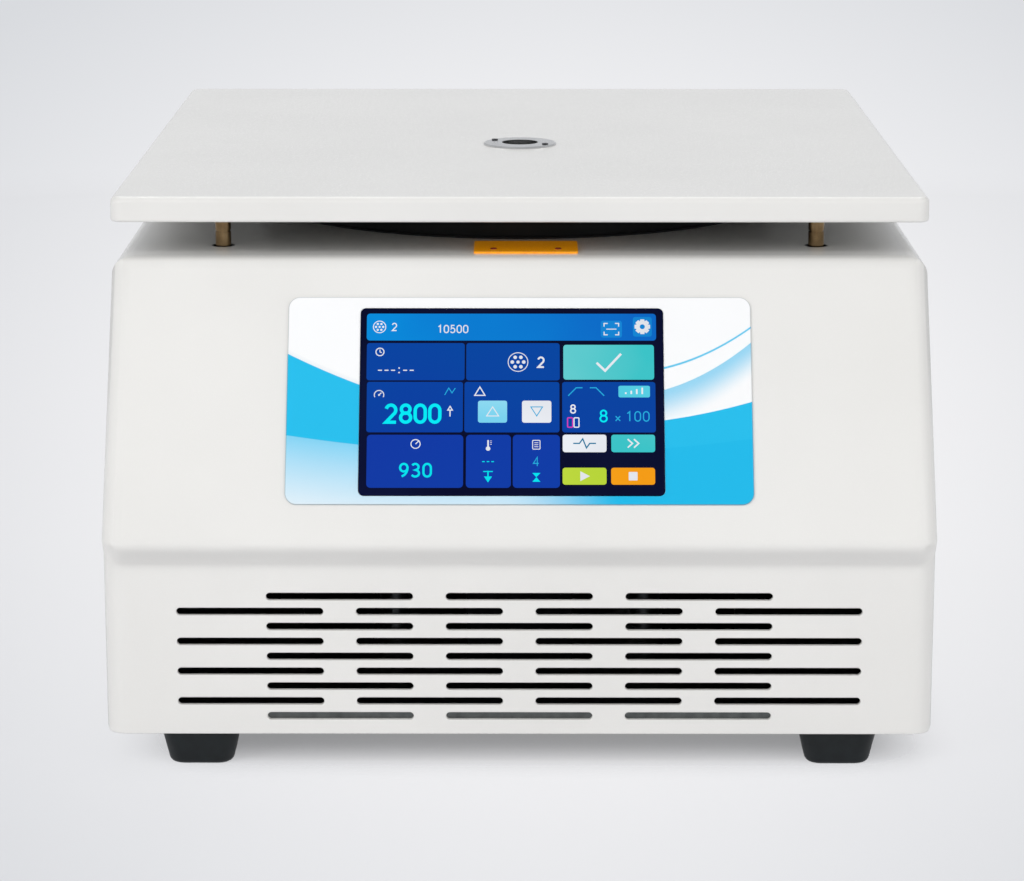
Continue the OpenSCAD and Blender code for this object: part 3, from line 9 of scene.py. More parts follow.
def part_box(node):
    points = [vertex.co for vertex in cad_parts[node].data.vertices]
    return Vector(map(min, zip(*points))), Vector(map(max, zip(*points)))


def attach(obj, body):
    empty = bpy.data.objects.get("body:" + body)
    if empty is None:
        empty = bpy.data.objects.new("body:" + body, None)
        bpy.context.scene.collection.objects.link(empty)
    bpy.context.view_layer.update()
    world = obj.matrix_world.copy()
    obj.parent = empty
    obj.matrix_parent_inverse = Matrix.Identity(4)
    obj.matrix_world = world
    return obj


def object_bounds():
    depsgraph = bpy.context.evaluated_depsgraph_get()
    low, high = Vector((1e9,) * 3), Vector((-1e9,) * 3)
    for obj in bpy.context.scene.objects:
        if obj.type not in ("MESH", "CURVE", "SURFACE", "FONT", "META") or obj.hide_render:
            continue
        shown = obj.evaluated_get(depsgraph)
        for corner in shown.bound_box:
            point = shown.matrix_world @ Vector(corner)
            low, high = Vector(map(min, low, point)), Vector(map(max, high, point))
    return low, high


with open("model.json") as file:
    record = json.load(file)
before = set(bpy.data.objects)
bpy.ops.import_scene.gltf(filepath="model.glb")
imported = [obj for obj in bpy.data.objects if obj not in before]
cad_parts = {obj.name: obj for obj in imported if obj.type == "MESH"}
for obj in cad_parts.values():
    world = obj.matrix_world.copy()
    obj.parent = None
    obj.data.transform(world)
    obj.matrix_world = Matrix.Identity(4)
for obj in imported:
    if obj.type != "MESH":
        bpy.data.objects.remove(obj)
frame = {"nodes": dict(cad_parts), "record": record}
cad_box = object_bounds()
NODES = frame["nodes"]

MM = 0.001
X, Y, Z = Vector((1, 0, 0)), Vector((0, 1, 0)), Vector((0, 0, 1))


# ---- Frames of flat faces: right, up and out of the face as seen from outside ----

def face_frame(place, out, up):
    """The matrix of a flat face with a given middle. up is a direction that is roughly up the face."""
    right = up.cross(out).normalized()
    matrix = Matrix((right, out.cross(right), out)).transposed().to_4x4()
    matrix.translation = place
    return matrix


def panel_frame():
    """The frame of the touch glass's face, which leans with the panel."""
    faces = [face for face in NODES["touch_glass"].data.polygons if face.normal.y < 0]
    front = max(faces, key=lambda face: face.area)
    out = front.normal.copy()
    out.x = 0.0
    out.normalize()
    low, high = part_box("touch_glass")
    middle = (low + high) / 2
    middle += out * (front.center - middle).dot(out)
    return face_frame(middle, out, Z)


PANEL = panel_frame()
GLASS_MIDDLE = PANEL.translation
RIGHT, UP = (PANEL.col[i].to_3d() for i in range(2))


def middle_of(node):
    low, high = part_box(node)
    return (low + high) / 2


SPIN = middle_of("rotor_knob")
SPIN_AXIS = (SPIN.x, SPIN.y, 0.0)


# ---- Colours and node trees ----

def srgb(red, green, blue):
    """A colour written as 0 to 255 display values, as the linear values that Blender uses."""
    def linear(value):
        value /= 255
        return value / 12.92 if value <= 0.04045 else ((value + 0.055) / 1.055) ** 2.4
    return (linear(red), linear(green), linear(blue), 1.0)


# The Mix node's sockets for two colours, and for the colour that comes out.
MIX_FIRST, MIX_SECOND, MIX_RESULT = 6, 7, 2


class Tree:
    """A shader node tree, with short calls that add nodes and link them."""

    def __init__(self, tree):
        self.tree = tree
        self.tree.nodes.clear()

    def add(self, kind, inputs=None, **settings):
        node = self.tree.nodes.new("ShaderNode" + kind)
        for key, value in settings.items():
            setattr(node, key, value)
        for key, value in (inputs or {}).items():
            self.feed(node.inputs[key], value)
        return node

    def feed(self, socket, value):
        if isinstance(value, bpy.types.NodeSocket):
            self.tree.links.new(value, socket)
        else:
            socket.default_value = value

    def math(self, operation, first, second=0.0):
        return self.add("Math", {0: first, 1: second}, operation=operation).outputs[0]

    def vector_math(self, operation, first, second=(0.0, 0.0, 0.0)):
        node = self.add("VectorMath", {0: first, 1: second}, operation=operation)
        return node.outputs["Value" if operation in ("DOT_PRODUCT", "LENGTH") else "Vector"]

    def span(self, value, low, high, to_low, to_high, kind="LINEAR"):
        """value carried from the range low to high over to the range to_low to to_high."""
        node = self.add("MapRange", {
            "Value": value, "From Min": low, "From Max": high, "To Min": to_low, "To Max": to_high,
        }, interpolation_type=kind)
        return node.outputs[0]

    def mix(self, factor, first, second):
        node = self.add("Mix", {"Factor": factor}, data_type="RGBA")
        self.feed(node.inputs[MIX_FIRST], first)
        self.feed(node.inputs[MIX_SECOND], second)
        return node.outputs[MIX_RESULT]

    def shown_ray(self):
        """1 for camera, glossy and transmission rays, which see the backdrop, and 0 for the rest."""
        path = self.add("LightPath").outputs
        seen = path["Is Camera Ray"]
        for kind in ("Is Glossy Ray", "Is Transmission Ray"):
            seen = self.math("MAXIMUM", seen, path[kind])
        return seen


# Noise keeps to the middle of 0 to 1, so its ranges are carried from these.
NOISE_LOW, NOISE_HIGH = 0.3, 0.7


class Finish(Tree):
    """A material, drawn by calls that end in surface(). place is a point of the frame, in metres."""

    def __init__(self, name):
        self.material = bpy.data.materials.new(name)
        self.material.use_nodes = True
        super().__init__(self.material.node_tree)
        self.output = self.add("OutputMaterial")
        self.shader = None
        self.place = self.add("TexCoord").outputs["Object"]

    def noise(self, size, detail=3.0, stretch=(1, 1, 1), place=None):
        """Noise whose spots are about size metres across, longer along an axis by stretch."""
        scaled = self.add("Mapping", {
            "Vector": place or self.place,
            "Scale": tuple(1 / (size * axis) for axis in stretch),
        })
        noise = self.add("TexNoise", {"Vector": scaled.outputs[0], "Scale": 1.0, "Detail": detail})
        return noise.outputs["Fac"]

    def blend(self, noise, first, second, low=NOISE_LOW, high=NOISE_HIGH):
        """From the first colour to the second as noise rises from low to high."""
        return self.mix(self.span(noise, low, high, 0.0, 1.0), first, second)

    def vary(self, noise, to_low, to_high):
        """A value that noise carries from to_low to to_high."""
        return self.span(noise, NOISE_LOW, NOISE_HIGH, to_low, to_high)

    def bump(self, height, depth, below=None):
        """Surface relief: height runs from 0 to 1 over depth metres."""
        inputs = {"Height": height, "Distance": depth, "Strength": 1.0}
        if below:
            inputs["Normal"] = below
        return self.add("Bump", inputs).outputs[0]

    def round_axis(self, axis):
        """Distance from an upright axis, and the height, as a vector for turned and spun marks."""
        away = self.vector_math("SUBTRACT", self.place, tuple(axis))
        radius = self.vector_math("LENGTH", self.vector_math("MULTIPLY", away, (1.0, 1.0, 0.0)))
        height = self.add("SeparateXYZ", {0: self.place}).outputs["Z"]
        return self.add("CombineXYZ", {"X": radius, "Z": height}).outputs[0]

    def across_panel(self):
        """Metres to the right of the glass's middle and up from it, along the panel."""
        away = self.vector_math("SUBTRACT", self.place, tuple(GLASS_MIDDLE))
        return [self.vector_math("DOT_PRODUCT", away, tuple(way)) for way in (RIGHT, UP)]

    def surface(self, colour, roughness, relief=None, **constants):
        """Ends the tree in one Principled shader. Constants are set on the shader's own sockets."""
        self.shader = self.add("BsdfPrincipled", {"Base Color": colour, "Roughness": roughness})
        for key, value in constants.items():
            self.shader.inputs[key.replace("_", " ")].default_value = value
        if relief:
            self.feed(self.shader.inputs["Normal"], relief)
        self.tree.links.new(self.shader.outputs[0], self.output.inputs["Surface"])
        return self.material

    def let_through(self, share):
        """Makes the finished surface clear by a share from 0 to 1."""
        clear = self.add("BsdfTransparent").outputs[0]
        mix = self.add("MixShader", {0: share, 1: self.shader.outputs[0], 2: clear})
        self.feed(self.output.inputs["Surface"], mix.outputs[0])
        return self.material


# ---- Finishes ----

ZINC = (srgb(186, 188, 192), srgb(168, 171, 176))
STEEL = (srgb(202, 202, 200), srgb(188, 188, 187))
BOWL_STEEL = (srgb(226, 226, 224), srgb(214, 214, 213))
ALLOY = (srgb(205, 206, 208), srgb(190, 191, 194))
PAINT = (srgb(236, 235, 232), srgb(233, 232, 229))
ORANGE_PEEL = 1.3 * MM
POWDER_GRAIN = 0.35 * MM
# The edge that the chin turns under is rounder than the rest.
CHIN_HEIGHT = 119 * MM
CHIN_REACH = (8 * MM, 14 * MM)
PAINT_EDGE = 0.9 * MM
CHIN_EDGE = 7 * MM


def powder_paint():
    """Warm white powder coat: satin, with a fine orange peel over finer grain."""
    f = Finish("powder_paint")
    colour = f.blend(f.noise(90 * MM, 2.0), *PAINT, 0.35, 0.65)
    peel = f.noise(ORANGE_PEEL, 2.0)
    grain = f.noise(POWDER_GRAIN, 1.0)
    height = f.add("SeparateXYZ", {0: f.place}).outputs["Z"]
    from_chin = f.math("ABSOLUTE", f.math("SUBTRACT", height, CHIN_HEIGHT))
    softness = f.span(from_chin, *CHIN_REACH, CHIN_EDGE, PAINT_EDGE, "SMOOTHSTEP")
    soft_edges = f.add("Bevel", {"Radius": softness}, samples=8).outputs[0]
    relief = f.bump(grain, 0.003 * MM, f.bump(peel, 0.008 * MM, soft_edges))
    return f.surface(colour, f.vary(grain, 0.16, 0.28), relief, Specular_IOR_Level=0.5)


def sheet_metal(name, light, dark, roughness, grain_size=6 * MM, along=(30, 1, 1)):
    """Rolled or plated sheet: long faint rolling lines and a cloudy plating tone."""
    f = Finish(name)
    lines = f.noise(0.25 * MM, 2.0, along)
    clouds = f.noise(grain_size, 4.0)
    shine = f.math("ADD", f.vary(lines, roughness - 0.07, roughness + 0.07), f.vary(clouds, -0.05, 0.05))
    return f.surface(f.blend(clouds, light, dark), shine, f.bump(lines, 0.003 * MM), Metallic=1.0)


def turned_metal(name, light, dark, roughness, axis=(0.0, 0.0, 0.0), pitch=0.35 * MM, cut=0.004 * MM):
    """Turned or spun metal: fine rings round an upright axis."""
    f = Finish(name)
    rings = f.noise(pitch, 1.0, place=f.round_axis(axis))
    colour = f.blend(f.noise(12 * MM, 3.0), light, dark)
    shine = f.vary(rings, roughness - 0.08, roughness + 0.08)
    return f.surface(colour, shine, f.bump(rings, cut), Metallic=1.0)


# The bowl's outer rim is coloured black, out to the edge that shows past the seal.
RIM_BLACK = srgb(14, 16, 17)
BLACK_RIM_WIDTH = 10.9 * MM
BLACK_RIM_FADE = 0.2 * MM


def spun_bowl():
    """Spun steel with fine rings. Its rim is black where it shows past the seal."""
    f = Finish("spun_bowl")
    spun = f.round_axis(SPIN_AXIS)
    rings = f.noise(0.6 * MM, 1.0, place=spun)
    bare = f.blend(f.noise(12 * MM, 3.0), *BOWL_STEEL)
    radius = f.add("SeparateXYZ", {0: spun}).outputs["X"]
    low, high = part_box("bowl")
    rim = (high.x - low.x) / 2 - BLACK_RIM_WIDTH
    steel = f.span(radius, rim, rim + BLACK_RIM_FADE, 1.0, 0.0)
    duller = f.math("MULTIPLY", f.math("SUBTRACT", 1.0, steel), 0.4)
    f.surface(f.mix(steel, RIM_BLACK, bare), f.math("ADD", f.vary(rings, 0.18, 0.34), duller),
              f.bump(rings, 0.004 * MM), Specular_IOR_Level=0.3)
    f.feed(f.shader.inputs["Metallic"], steel)
    return f.material


def cast_metal(name, light, dark, roughness):
    """Fine-cast and blasted alloy: a soft grain with small pits."""
    f = Finish(name)
    grain = f.noise(0.5 * MM, 3.0)
    colour = f.blend(f.noise(25 * MM, 3.0), light, dark)
    shine = f.vary(grain, roughness - 0.08, roughness + 0.08)
    return f.surface(colour, shine, f.bump(grain, 0.02 * MM), Metallic=1.0)


def rubber(name, light, dark, gloss=0.35):
    """Moulded rubber: dull, with a pale bloom and a fine grain."""
    f = Finish(name)
    bloom = f.noise(8 * MM, 4.0)
    grain = f.noise(0.3 * MM, 2.0)
    colour = f.blend(bloom, dark, light, 0.4, 0.75)
    return f.surface(colour, f.vary(bloom, 0.42, 0.58), f.bump(grain, 0.012 * MM),
                     Specular_IOR_Level=gloss)


def moulded_plastic(name, light, dark, roughness=0.42):
    """Moulded plastic with a spark-eroded grain."""
    f = Finish(name)
    grain = f.noise(0.45 * MM, 2.0)
    colour = f.blend(f.noise(30 * MM, 2.0), dark, light, 0.35, 0.65)
    shine = f.vary(grain, roughness - 0.08, roughness + 0.08)
    return f.surface(colour, shine, f.bump(grain, 0.015 * MM))


def enamel(name, light, dark, roughness=0.3, painted_glow=0.0):
    """Enamel or ink: slow waves and small dust under a clear coat. Some get a painted glow in their own
    colour.
    """
    f = Finish(name)
    waves = f.noise(3 * MM, 2.0)
    colour = f.blend(waves, light, dark, 0.35, 0.7)
    shine = f.vary(f.noise(0.4 * MM, 2.0), roughness - 0.08, roughness + 0.1)
    f.surface(colour, shine, f.bump(waves, 0.02 * MM), Coat_Weight=0.4, Coat_Roughness=0.15,
              Emission_Strength=painted_glow)
    f.feed(f.shader.inputs["Emission Color"], colour)
    return f.material


def circuit_board():
    """Green solder mask over traces, with a scatter of tinned pads."""
    f = Finish("circuit_board")
    cells = f.add("TexBrick", {
        "Vector": f.place, "Scale": 1 / (22 * MM), "Color1": (1, 1, 1, 1), "Color2": (1, 1, 1, 1),
        "Mortar": (0, 0, 0, 1), "Mortar Size": 0.04,
    })
    traces = f.math("SUBTRACT", 1.0, cells.outputs["Fac"])
    pads = f.add("TexVoronoi", {"Vector": f.place, "Scale": 1 / (3.5 * MM), "Randomness": 0.35})
    pad = f.span(pads.outputs["Distance"], 0.16, 0.2, 1.0, 0.0)
    mask = f.mix(traces, srgb(22, 96, 58), srgb(15, 72, 44))
    colour = f.mix(pad, mask, srgb(190, 186, 170))
    return f.surface(colour, f.span(pad, 0, 1, 0.35, 0.25), f.bump(traces, 0.03 * MM))


def copper_windings():
    """Enamelled copper wire, laid round the axis in fine rows."""
    f = Finish("copper_windings")
    wires = f.noise(0.9 * MM, 0.0, place=f.round_axis(SPIN_AXIS))
    colour = f.blend(wires, srgb(120, 52, 24), srgb(205, 116, 62), 0.35, 0.65)
    return f.surface(colour, f.vary(wires, 0.25, 0.45), f.bump(wires, 0.2 * MM), Metallic=0.85)


def laminations():
    """A stack of punched core sheets."""
    f = Finish("laminations")
    sheets = f.noise(0.7 * MM, 1.0, (400, 400, 1))
    rust = f.noise(9 * MM, 4.0)
    colour = f.blend(rust, srgb(122, 124, 128), srgb(96, 84, 74), 0.5, 0.8)
    return f.surface(colour, f.vary(rust, 0.35, 0.55), f.bump(sheets, 0.06 * MM), Metallic=0.9)


def sight_glass():
    """Clear glass, faintly green, with the odd smear. Lamps light what lies behind it."""
    f = Finish("sight_glass")
    smear = f.noise(7 * MM, 3.0, (3, 1, 1))
    f.surface(srgb(238, 244, 243), f.span(smear, 0.5, 0.75, 0.02, 0.1), Transmission_Weight=1.0, IOR=1.5)
    return f.let_through(f.add("LightPath").outputs["Is Shadow Ray"])


def touch_glass():
    """Near-black navy glass of the unlit border, slightly smeared."""
    f = Finish("touch_glass")
    colour = f.blend(f.noise(60 * MM, 1.0), srgb(8, 12, 42), srgb(12, 19, 54), 0.35, 0.65)
    smear = f.noise(25 * MM, 3.0, (1, 3, 3))
    return f.surface(colour, f.span(smear, 0.4, 0.75, 0.06, 0.16), Specular_IOR_Level=0.02)


# The printed sheet's design: parabolas across the panel, in millimetres from the glass's middle.
# Each is (height of its turning point, where that is, its curvature).
WAVE_MAIN = (-14.0, 38.0, 0.0016)
WAVE_VEIL = (3.0, 58.0, 0.0058)
WAVE_LINE = (17.0, 60.0, 0.0052)
WAVE_DEEP = (-30.0, 10.0, 0.0006)
RIGHT_SIDE = (-10.0, 60.0)
LINE_WIDTH = 1.2
VEIL_FADE = 22.0
PALE_FADE = 40.0
SHEET_CORNER = 6.5
# Where the painted shade line along the sheet's edge starts and ends, in millimetres inside its outline.
EDGE_SHADE_BAND = (0.1, 0.5)
SHEET = {
    "white": srgb(250, 251, 252),
    "line": srgb(92, 200, 238),
    "veil": srgb(120, 206, 240),
    "shade": srgb(120, 160, 190),
    "cyan": srgb(22, 188, 234),
    "deep_cyan": srgb(10, 184, 232),
    "pale": srgb(128, 210, 242),
    "palest": srgb(226, 240, 248),
    "edge_shade": srgb(122, 127, 130),
}


def panel_extent(node):
    """A node's lowest and highest places across and up the panel, in millimetres."""
    away = [(vertex.co - GLASS_MIDDLE) / MM for vertex in NODES[node].data.vertices]
    across, up = ([off.dot(way) for off in away] for way in (RIGHT, UP))
    return (min(across), max(across)), (min(up), max(up))


def printed_sheet():
    """White sheet printed with ribbons of cyan and pale blue that rise towards both sides."""
    f = Finish("printed_sheet")
    across, up = (f.math("DIVIDE", place, MM) for place in f.across_panel())

    def under(wave):
        """How far below a wave a point lies."""
        height, turn, curve = wave
        off = f.math("SUBTRACT", across, turn)
        rise = f.math("MULTIPLY", f.math("MULTIPLY", off, off), curve)
        return f.math("SUBTRACT", f.math("ADD", rise, height), up)

    def edge(depth, softness=0.25):
        return f.span(depth, -softness, softness, 0.0, 1.0, "SMOOTHSTEP")

    def from_edge():
        """How far inside the sheet's rounded outline a point lies."""
        beyond = []
        for place, (low, high) in zip((across, up), panel_extent("overlay")):
            off = f.math("ABSOLUTE", f.math("SUBTRACT", place, (low + high) / 2))
            beyond.append(f.math("SUBTRACT", off, (high - low) / 2 - SHEET_CORNER))
        squares = [f.math("POWER", f.math("MAXIMUM", off, 0.0), 2.0) for off in beyond]
        return f.math("SUBTRACT", SHEET_CORNER, f.math("SQRT", f.math("ADD", *squares)))

    right_side = f.span(across, *RIGHT_SIDE, 0.0, 1.0, "SMOOTHSTEP")
    line = under(WAVE_LINE)
    stripe = f.math("MULTIPLY", edge(line), edge(f.math("SUBTRACT", LINE_WIDTH, line)))
    colour = f.mix(f.math("MULTIPLY", stripe, right_side), SHEET["white"], SHEET["line"])
    veil = under(WAVE_VEIL)
    fading = f.span(veil, 0.0, VEIL_FADE, 0.85, 0.0, "SMOOTHSTEP")
    veil_mask = f.math("MULTIPLY", f.math("MULTIPLY", edge(veil), fading), right_side)
    colour = f.mix(veil_mask, colour, SHEET["veil"])
    main = under(WAVE_MAIN)
    cast = f.math("MULTIPLY", f.span(main, -3.0, 0.0, 0.0, 0.16), f.math("SUBTRACT", 1.0, right_side))
    colour = f.mix(cast, colour, SHEET["shade"])
    colour = f.mix(edge(main), colour, SHEET["cyan"])
    deep = under(WAVE_DEEP)
    pale = f.blend(deep, SHEET["pale"], SHEET["palest"], 0.0, PALE_FADE)
    colour = f.mix(edge(deep), colour, f.mix(right_side, pale, SHEET["deep_cyan"]))
    # A thin painted shade line runs just inside the sheet's outline.
    colour = f.mix(f.span(from_edge(), *EDGE_SHADE_BAND, 0.6, 0.0), colour, SHEET["edge_shade"])
    grain = f.noise(0.5 * MM, 2.0)
    return f.surface(colour, f.vary(grain, 0.28, 0.38), f.bump(grain, 0.003 * MM),
                     Specular_IOR_Level=0.3)


FINISHES = {
    "housing_paint": powder_paint(),
    "zinc_steel": sheet_metal("zinc_sheet", *ZINC, 0.38),
    "stainless": sheet_metal("stainless_sheet", *STEEL, 0.26, 20 * MM),
    "pin_steel": turned_metal("pin_steel", srgb(152, 128, 94), srgb(112, 90, 62), 0.17, cut=0.014 * MM),
    "core_steel": laminations(),
    "winding": copper_windings(),
    "spacer_brass": turned_metal("turned_brass", srgb(206, 176, 112), srgb(186, 152, 88), 0.25),
    "cast_alloy": cast_metal("cast_alloy", *ALLOY, 0.42),
    "soft_rubber": rubber("soft_rubber", srgb(24, 30, 32), srgb(12, 17, 19)),
    "black_plastic": moulded_plastic("black_plastic", srgb(48, 49, 52), srgb(38, 39, 42)),
    "printed_sheet": printed_sheet(),
    "screen": touch_glass(),
    "circuit_board": circuit_board(),
    # The yellow label gets a painted glow, which keeps it bright in the shade under the lid.
    "label_yellow": enamel("yellow_enamel", srgb(246, 164, 3), srgb(238, 150, 1), painted_glow=0.2),
    "rivet_red": enamel("red_lacquer", srgb(140, 34, 26), srgb(112, 24, 20)),
    "sight_glass": sight_glass(),
}
SPECIAL = {
    "lid_liner": sheet_metal("liner_sheet", *STEEL, 0.42, 20 * MM),
    "chamber_seal": rubber("seal_rubber", srgb(15, 17, 17), srgb(8, 10, 10), 0.2),
    "bowl": spun_bowl(),
    # The guard ring is near-black as painted shade, so the inside of the housing shows dark through the
    # vents.
    "guard_ring": sheet_metal("guard_steel", srgb(40, 41, 44), srgb(28, 29, 31), 0.55),
    "rotor_head": turned_metal("turned_alloy", *ALLOY, 0.34, SPIN_AXIS, 0.5 * MM),
    "motor_shaft": turned_metal("ground_steel", *STEEL, 0.22, SPIN_AXIS),
    "port_ring": turned_metal("port_steel", *STEEL, 0.24, SPIN_AXIS),
    # The tray is a darker copy of the zinc: painted shade inside the housing, seen through the low
    # vents.
    "tray": sheet_metal("tray_sheet", srgb(112, 115, 114), srgb(98, 101, 100), 0.5),
}

for part in frame["record"]["subparts"]:
    name = part["node"]
    NODES[name].material_slots[0].material = SPECIAL.get(name, FINISHES[part["material_slot"]])


# ---- Geometry nodes: smooth forms and the screws' cross recesses ----

SOFT_FORMS = ("housing", "lid_shell", "feet", "hinge_springs")
WELD = 0.002 * MM
CREASE = math.radians(32)


class FormNodes:
    """A geometry node group that starts by joining the split seams of a CAD mesh."""

    def __init__(self, name):
        self.group = bpy.data.node_groups.new(name, "GeometryNodeTree")
        for way in ("INPUT", "OUTPUT"):
            self.group.interface.new_socket("Geometry", in_out=way, socket_type="NodeSocketGeometry")
        start = self.group.nodes.new("NodeGroupInput").outputs[0]
        plain = self.add("GeometryNodeRemoveAttribute", {"Geometry": start, "Name": "custom_normal"})
        self.piece = self.add("GeometryNodeMergeByDistance", {"Geometry": plain, "Distance": WELD})

    def add(self, kind, inputs=None, output=0, **settings):
        node = self.group.nodes.new(kind)
        for key, value in settings.items():
            setattr(node, key, value)
        for key, value in (inputs or {}).items():
            if isinstance(value, bpy.types.NodeSocket):
                self.group.links.new(value, node.inputs[key])
            else:
                node.inputs[key].default_value = value
        return node.outputs[output]

    def join(self, pieces):
        joined = self.group.nodes.new("GeometryNodeJoinGeometry")
        for piece in pieces:
            self.group.links.new(piece, joined.inputs[0])
        return joined.outputs[0]

    def done(self, piece):
        end = self.group.nodes.new("NodeGroupOutput")
        self.group.links.new(piece, end.inputs[0])
        return self.group


def smooth_group():
    """Shades a form smooth, but for its edges past CREASE."""
    n = FormNodes("smooth_forms")
    angle = n.add("GeometryNodeInputMeshEdgeAngle", output="Unsigned Angle")
    gentle = n.add("FunctionNodeCompare", {"A": angle, "B": CREASE}, operation="LESS_THAN")
    soft = n.add("GeometryNodeSetShadeSmooth", {"Geometry": n.piece}, domain="FACE")
    return n.done(n.add("GeometryNodeSetShadeSmooth", {"Geometry": soft, "Shade Smooth": gentle},
                        domain="EDGE"))


SMOOTH = smooth_group()


def smooth(piece):
    piece.modifiers.new("smooth_forms", "NODES").node_group = SMOOTH
    even = piece.modifiers.new("even_normals", "WEIGHTED_NORMAL")
    even.keep_sharp = True
    even.weight = 100


for name in SOFT_FORMS:
    smooth(NODES[name])

# Each is (direction of the heads, length of a pair of arms, width of an arm, depth), in millimetres.
RECESSES = {
    "rear_screws": (Y, 3.8, 1.0, 0.7),
    "port_screws": (Z, 2.3, 0.6, 0.35),
}
SCREW_APART = 6 * MM
FACING = 0.999


def screw_tops(node, out):
    """The middle of each screw's outer face."""
    tops = []
    for face in NODES[node].data.polygons:
        if face.normal.dot(out) < FACING:
            continue
        near = [top for top in tops if (top[0] / top[1] - face.center).length < SCREW_APART]
        if near:
            near[0][0] += face.center * face.area
            near[0][1] += face.area
        else:
            tops.append([face.center * face.area, face.area])
    return [total / area for total, area in tops]


def recess_group(node, out, arm, width, depth):
    """Cuts a cross into each screw: first all arms one way, then all the other way.

    The cuts are made in millimetres, because the boolean is coarse for small pieces in metres."""
    n = FormNodes("recess_" + node)
    piece = n.add("GeometryNodeTransform", {"Geometry": n.piece, "Scale": (1 / MM,) * 3})
    along = out.cross(X)
    deep = 2 * depth * Vector(map(abs, out))
    for long, short in ((X, along), (along, X)):
        size = deep + arm * Vector(map(abs, long)) + width * Vector(map(abs, short))
        block = n.add("GeometryNodeMeshCube", {"Size": size})
        arms = n.join(n.add("GeometryNodeTransform", {"Geometry": block, "Translation": top / MM})
                      for top in screw_tops(node, out))
        piece = n.add("GeometryNodeMeshBoolean", {"Mesh 1": piece, "Mesh 2": arms},
                      operation="DIFFERENCE", solver="EXACT")
    return n.done(n.add("GeometryNodeTransform", {"Geometry": piece, "Scale": (MM,) * 3}))


for node, recess in RECESSES.items():
    NODES[node].modifiers.new("recess", "NODES").node_group = recess_group(node, *recess)
    NODES[node].modifiers.new("smooth_forms", "NODES").node_group = SMOOTH


# ---- Flat shapes printed or lit on a face ----

def circle(radius, steps=24, start=0.0, turn=2 * math.pi):
    """Points round a circle, or round part of it when turn is smaller."""
    whole = abs(turn - 2 * math.pi) < 1e-6
    count = steps if whole else steps + 1
    angles = [start + turn * i / steps for i in range(count)]
    return [(radius * math.cos(a), radius * math.sin(a)) for a in angles]


def circle_at(x, y, radius, steps=24):
    return [(x + dx, y + dy) for dx, dy in circle(radius, steps)]


def rounded(x0, x1, y0, y1, corner, steps=5):
    """A rectangle's outline with round corners, anticlockwise."""
    corner = min(corner, (x1 - x0) / 2, (y1 - y0) / 2)
    points = []
    middles = ((x1 - corner, y1 - corner), (x0 + corner, y1 - corner),
               (x0 + corner, y0 + corner), (x1 - corner, y0 + corner))
    for quarter, (cx, cy) in enumerate(middles):
        for dx, dy in circle(corner, steps, quarter * math.pi / 2, math.pi / 2):
            points.append((cx + dx, cy + dy))
    return points


def arc(x, y, across, up, start, end, steps=12):
    """Points along part of an ellipse, from one angle to another in degrees."""
    angles = [math.radians(start + (end - start) * i / steps) for i in range(steps + 1)]
    return [(x + across * math.cos(a), y + up * math.sin(a)) for a in angles]


# The middle lines of the figures, in a cell FIGURE_WIDTH wide and 1 high: (points, closed).
FIGURE_WIDTH = 0.56
SIX = (
    (arc(0.28, 0.3, 0.28, 0.3, 0, 345, 23), True),
    (arc(0.58, 0.32, 0.58, 0.68, 176, 104, 8), False),
)
FIGURES = {
    "0": ((arc(0.28, 0.68, 0.28, 0.32, 0, 180) + arc(0.28, 0.32, 0.28, 0.32, 180, 360), True),),
    "1": (([(0.1, 0.8), (0.34, 1.0), (0.34, 0.0)], False),),
    "2": ((arc(0.27, 0.71, 0.27, 0.29, 165, -38) + [(0.0, 0.0), (0.56, 0.0)], False),),
    "3": ((arc(0.26, 0.76, 0.25, 0.24, 150, -90) + arc(0.26, 0.26, 0.29, 0.26, 84, -150), False),),
    "4": (([(0.42, 0.0), (0.42, 1.0), (0.0, 0.3), (0.58, 0.3)], False),),
    "5": (([(0.5, 1.0), (0.1, 1.0), (0.06, 0.52)] + arc(0.25, 0.32, 0.3, 0.32, 118, -150), False),),
    "6": SIX,
    "8": (
        (arc(0.28, 0.76, 0.24, 0.24, 0, 345, 23), True),
        (arc(0.28, 0.27, 0.28, 0.27, 0, 345, 23), True),
    ),
    "9": tuple(([(FIGURE_WIDTH - x, 1 - y) for x, y in points], closed) for points, closed in SIX),
    "x": (([(0.06, 0.04), (0.5, 0.52)], False), ([(0.06, 0.52), (0.5, 0.04)], False)),
}

FILM = 0.05 * MM
# A stroke's corner widens it by 1 / MITRE_LIMIT at most.
MITRE_LIMIT = 0.4


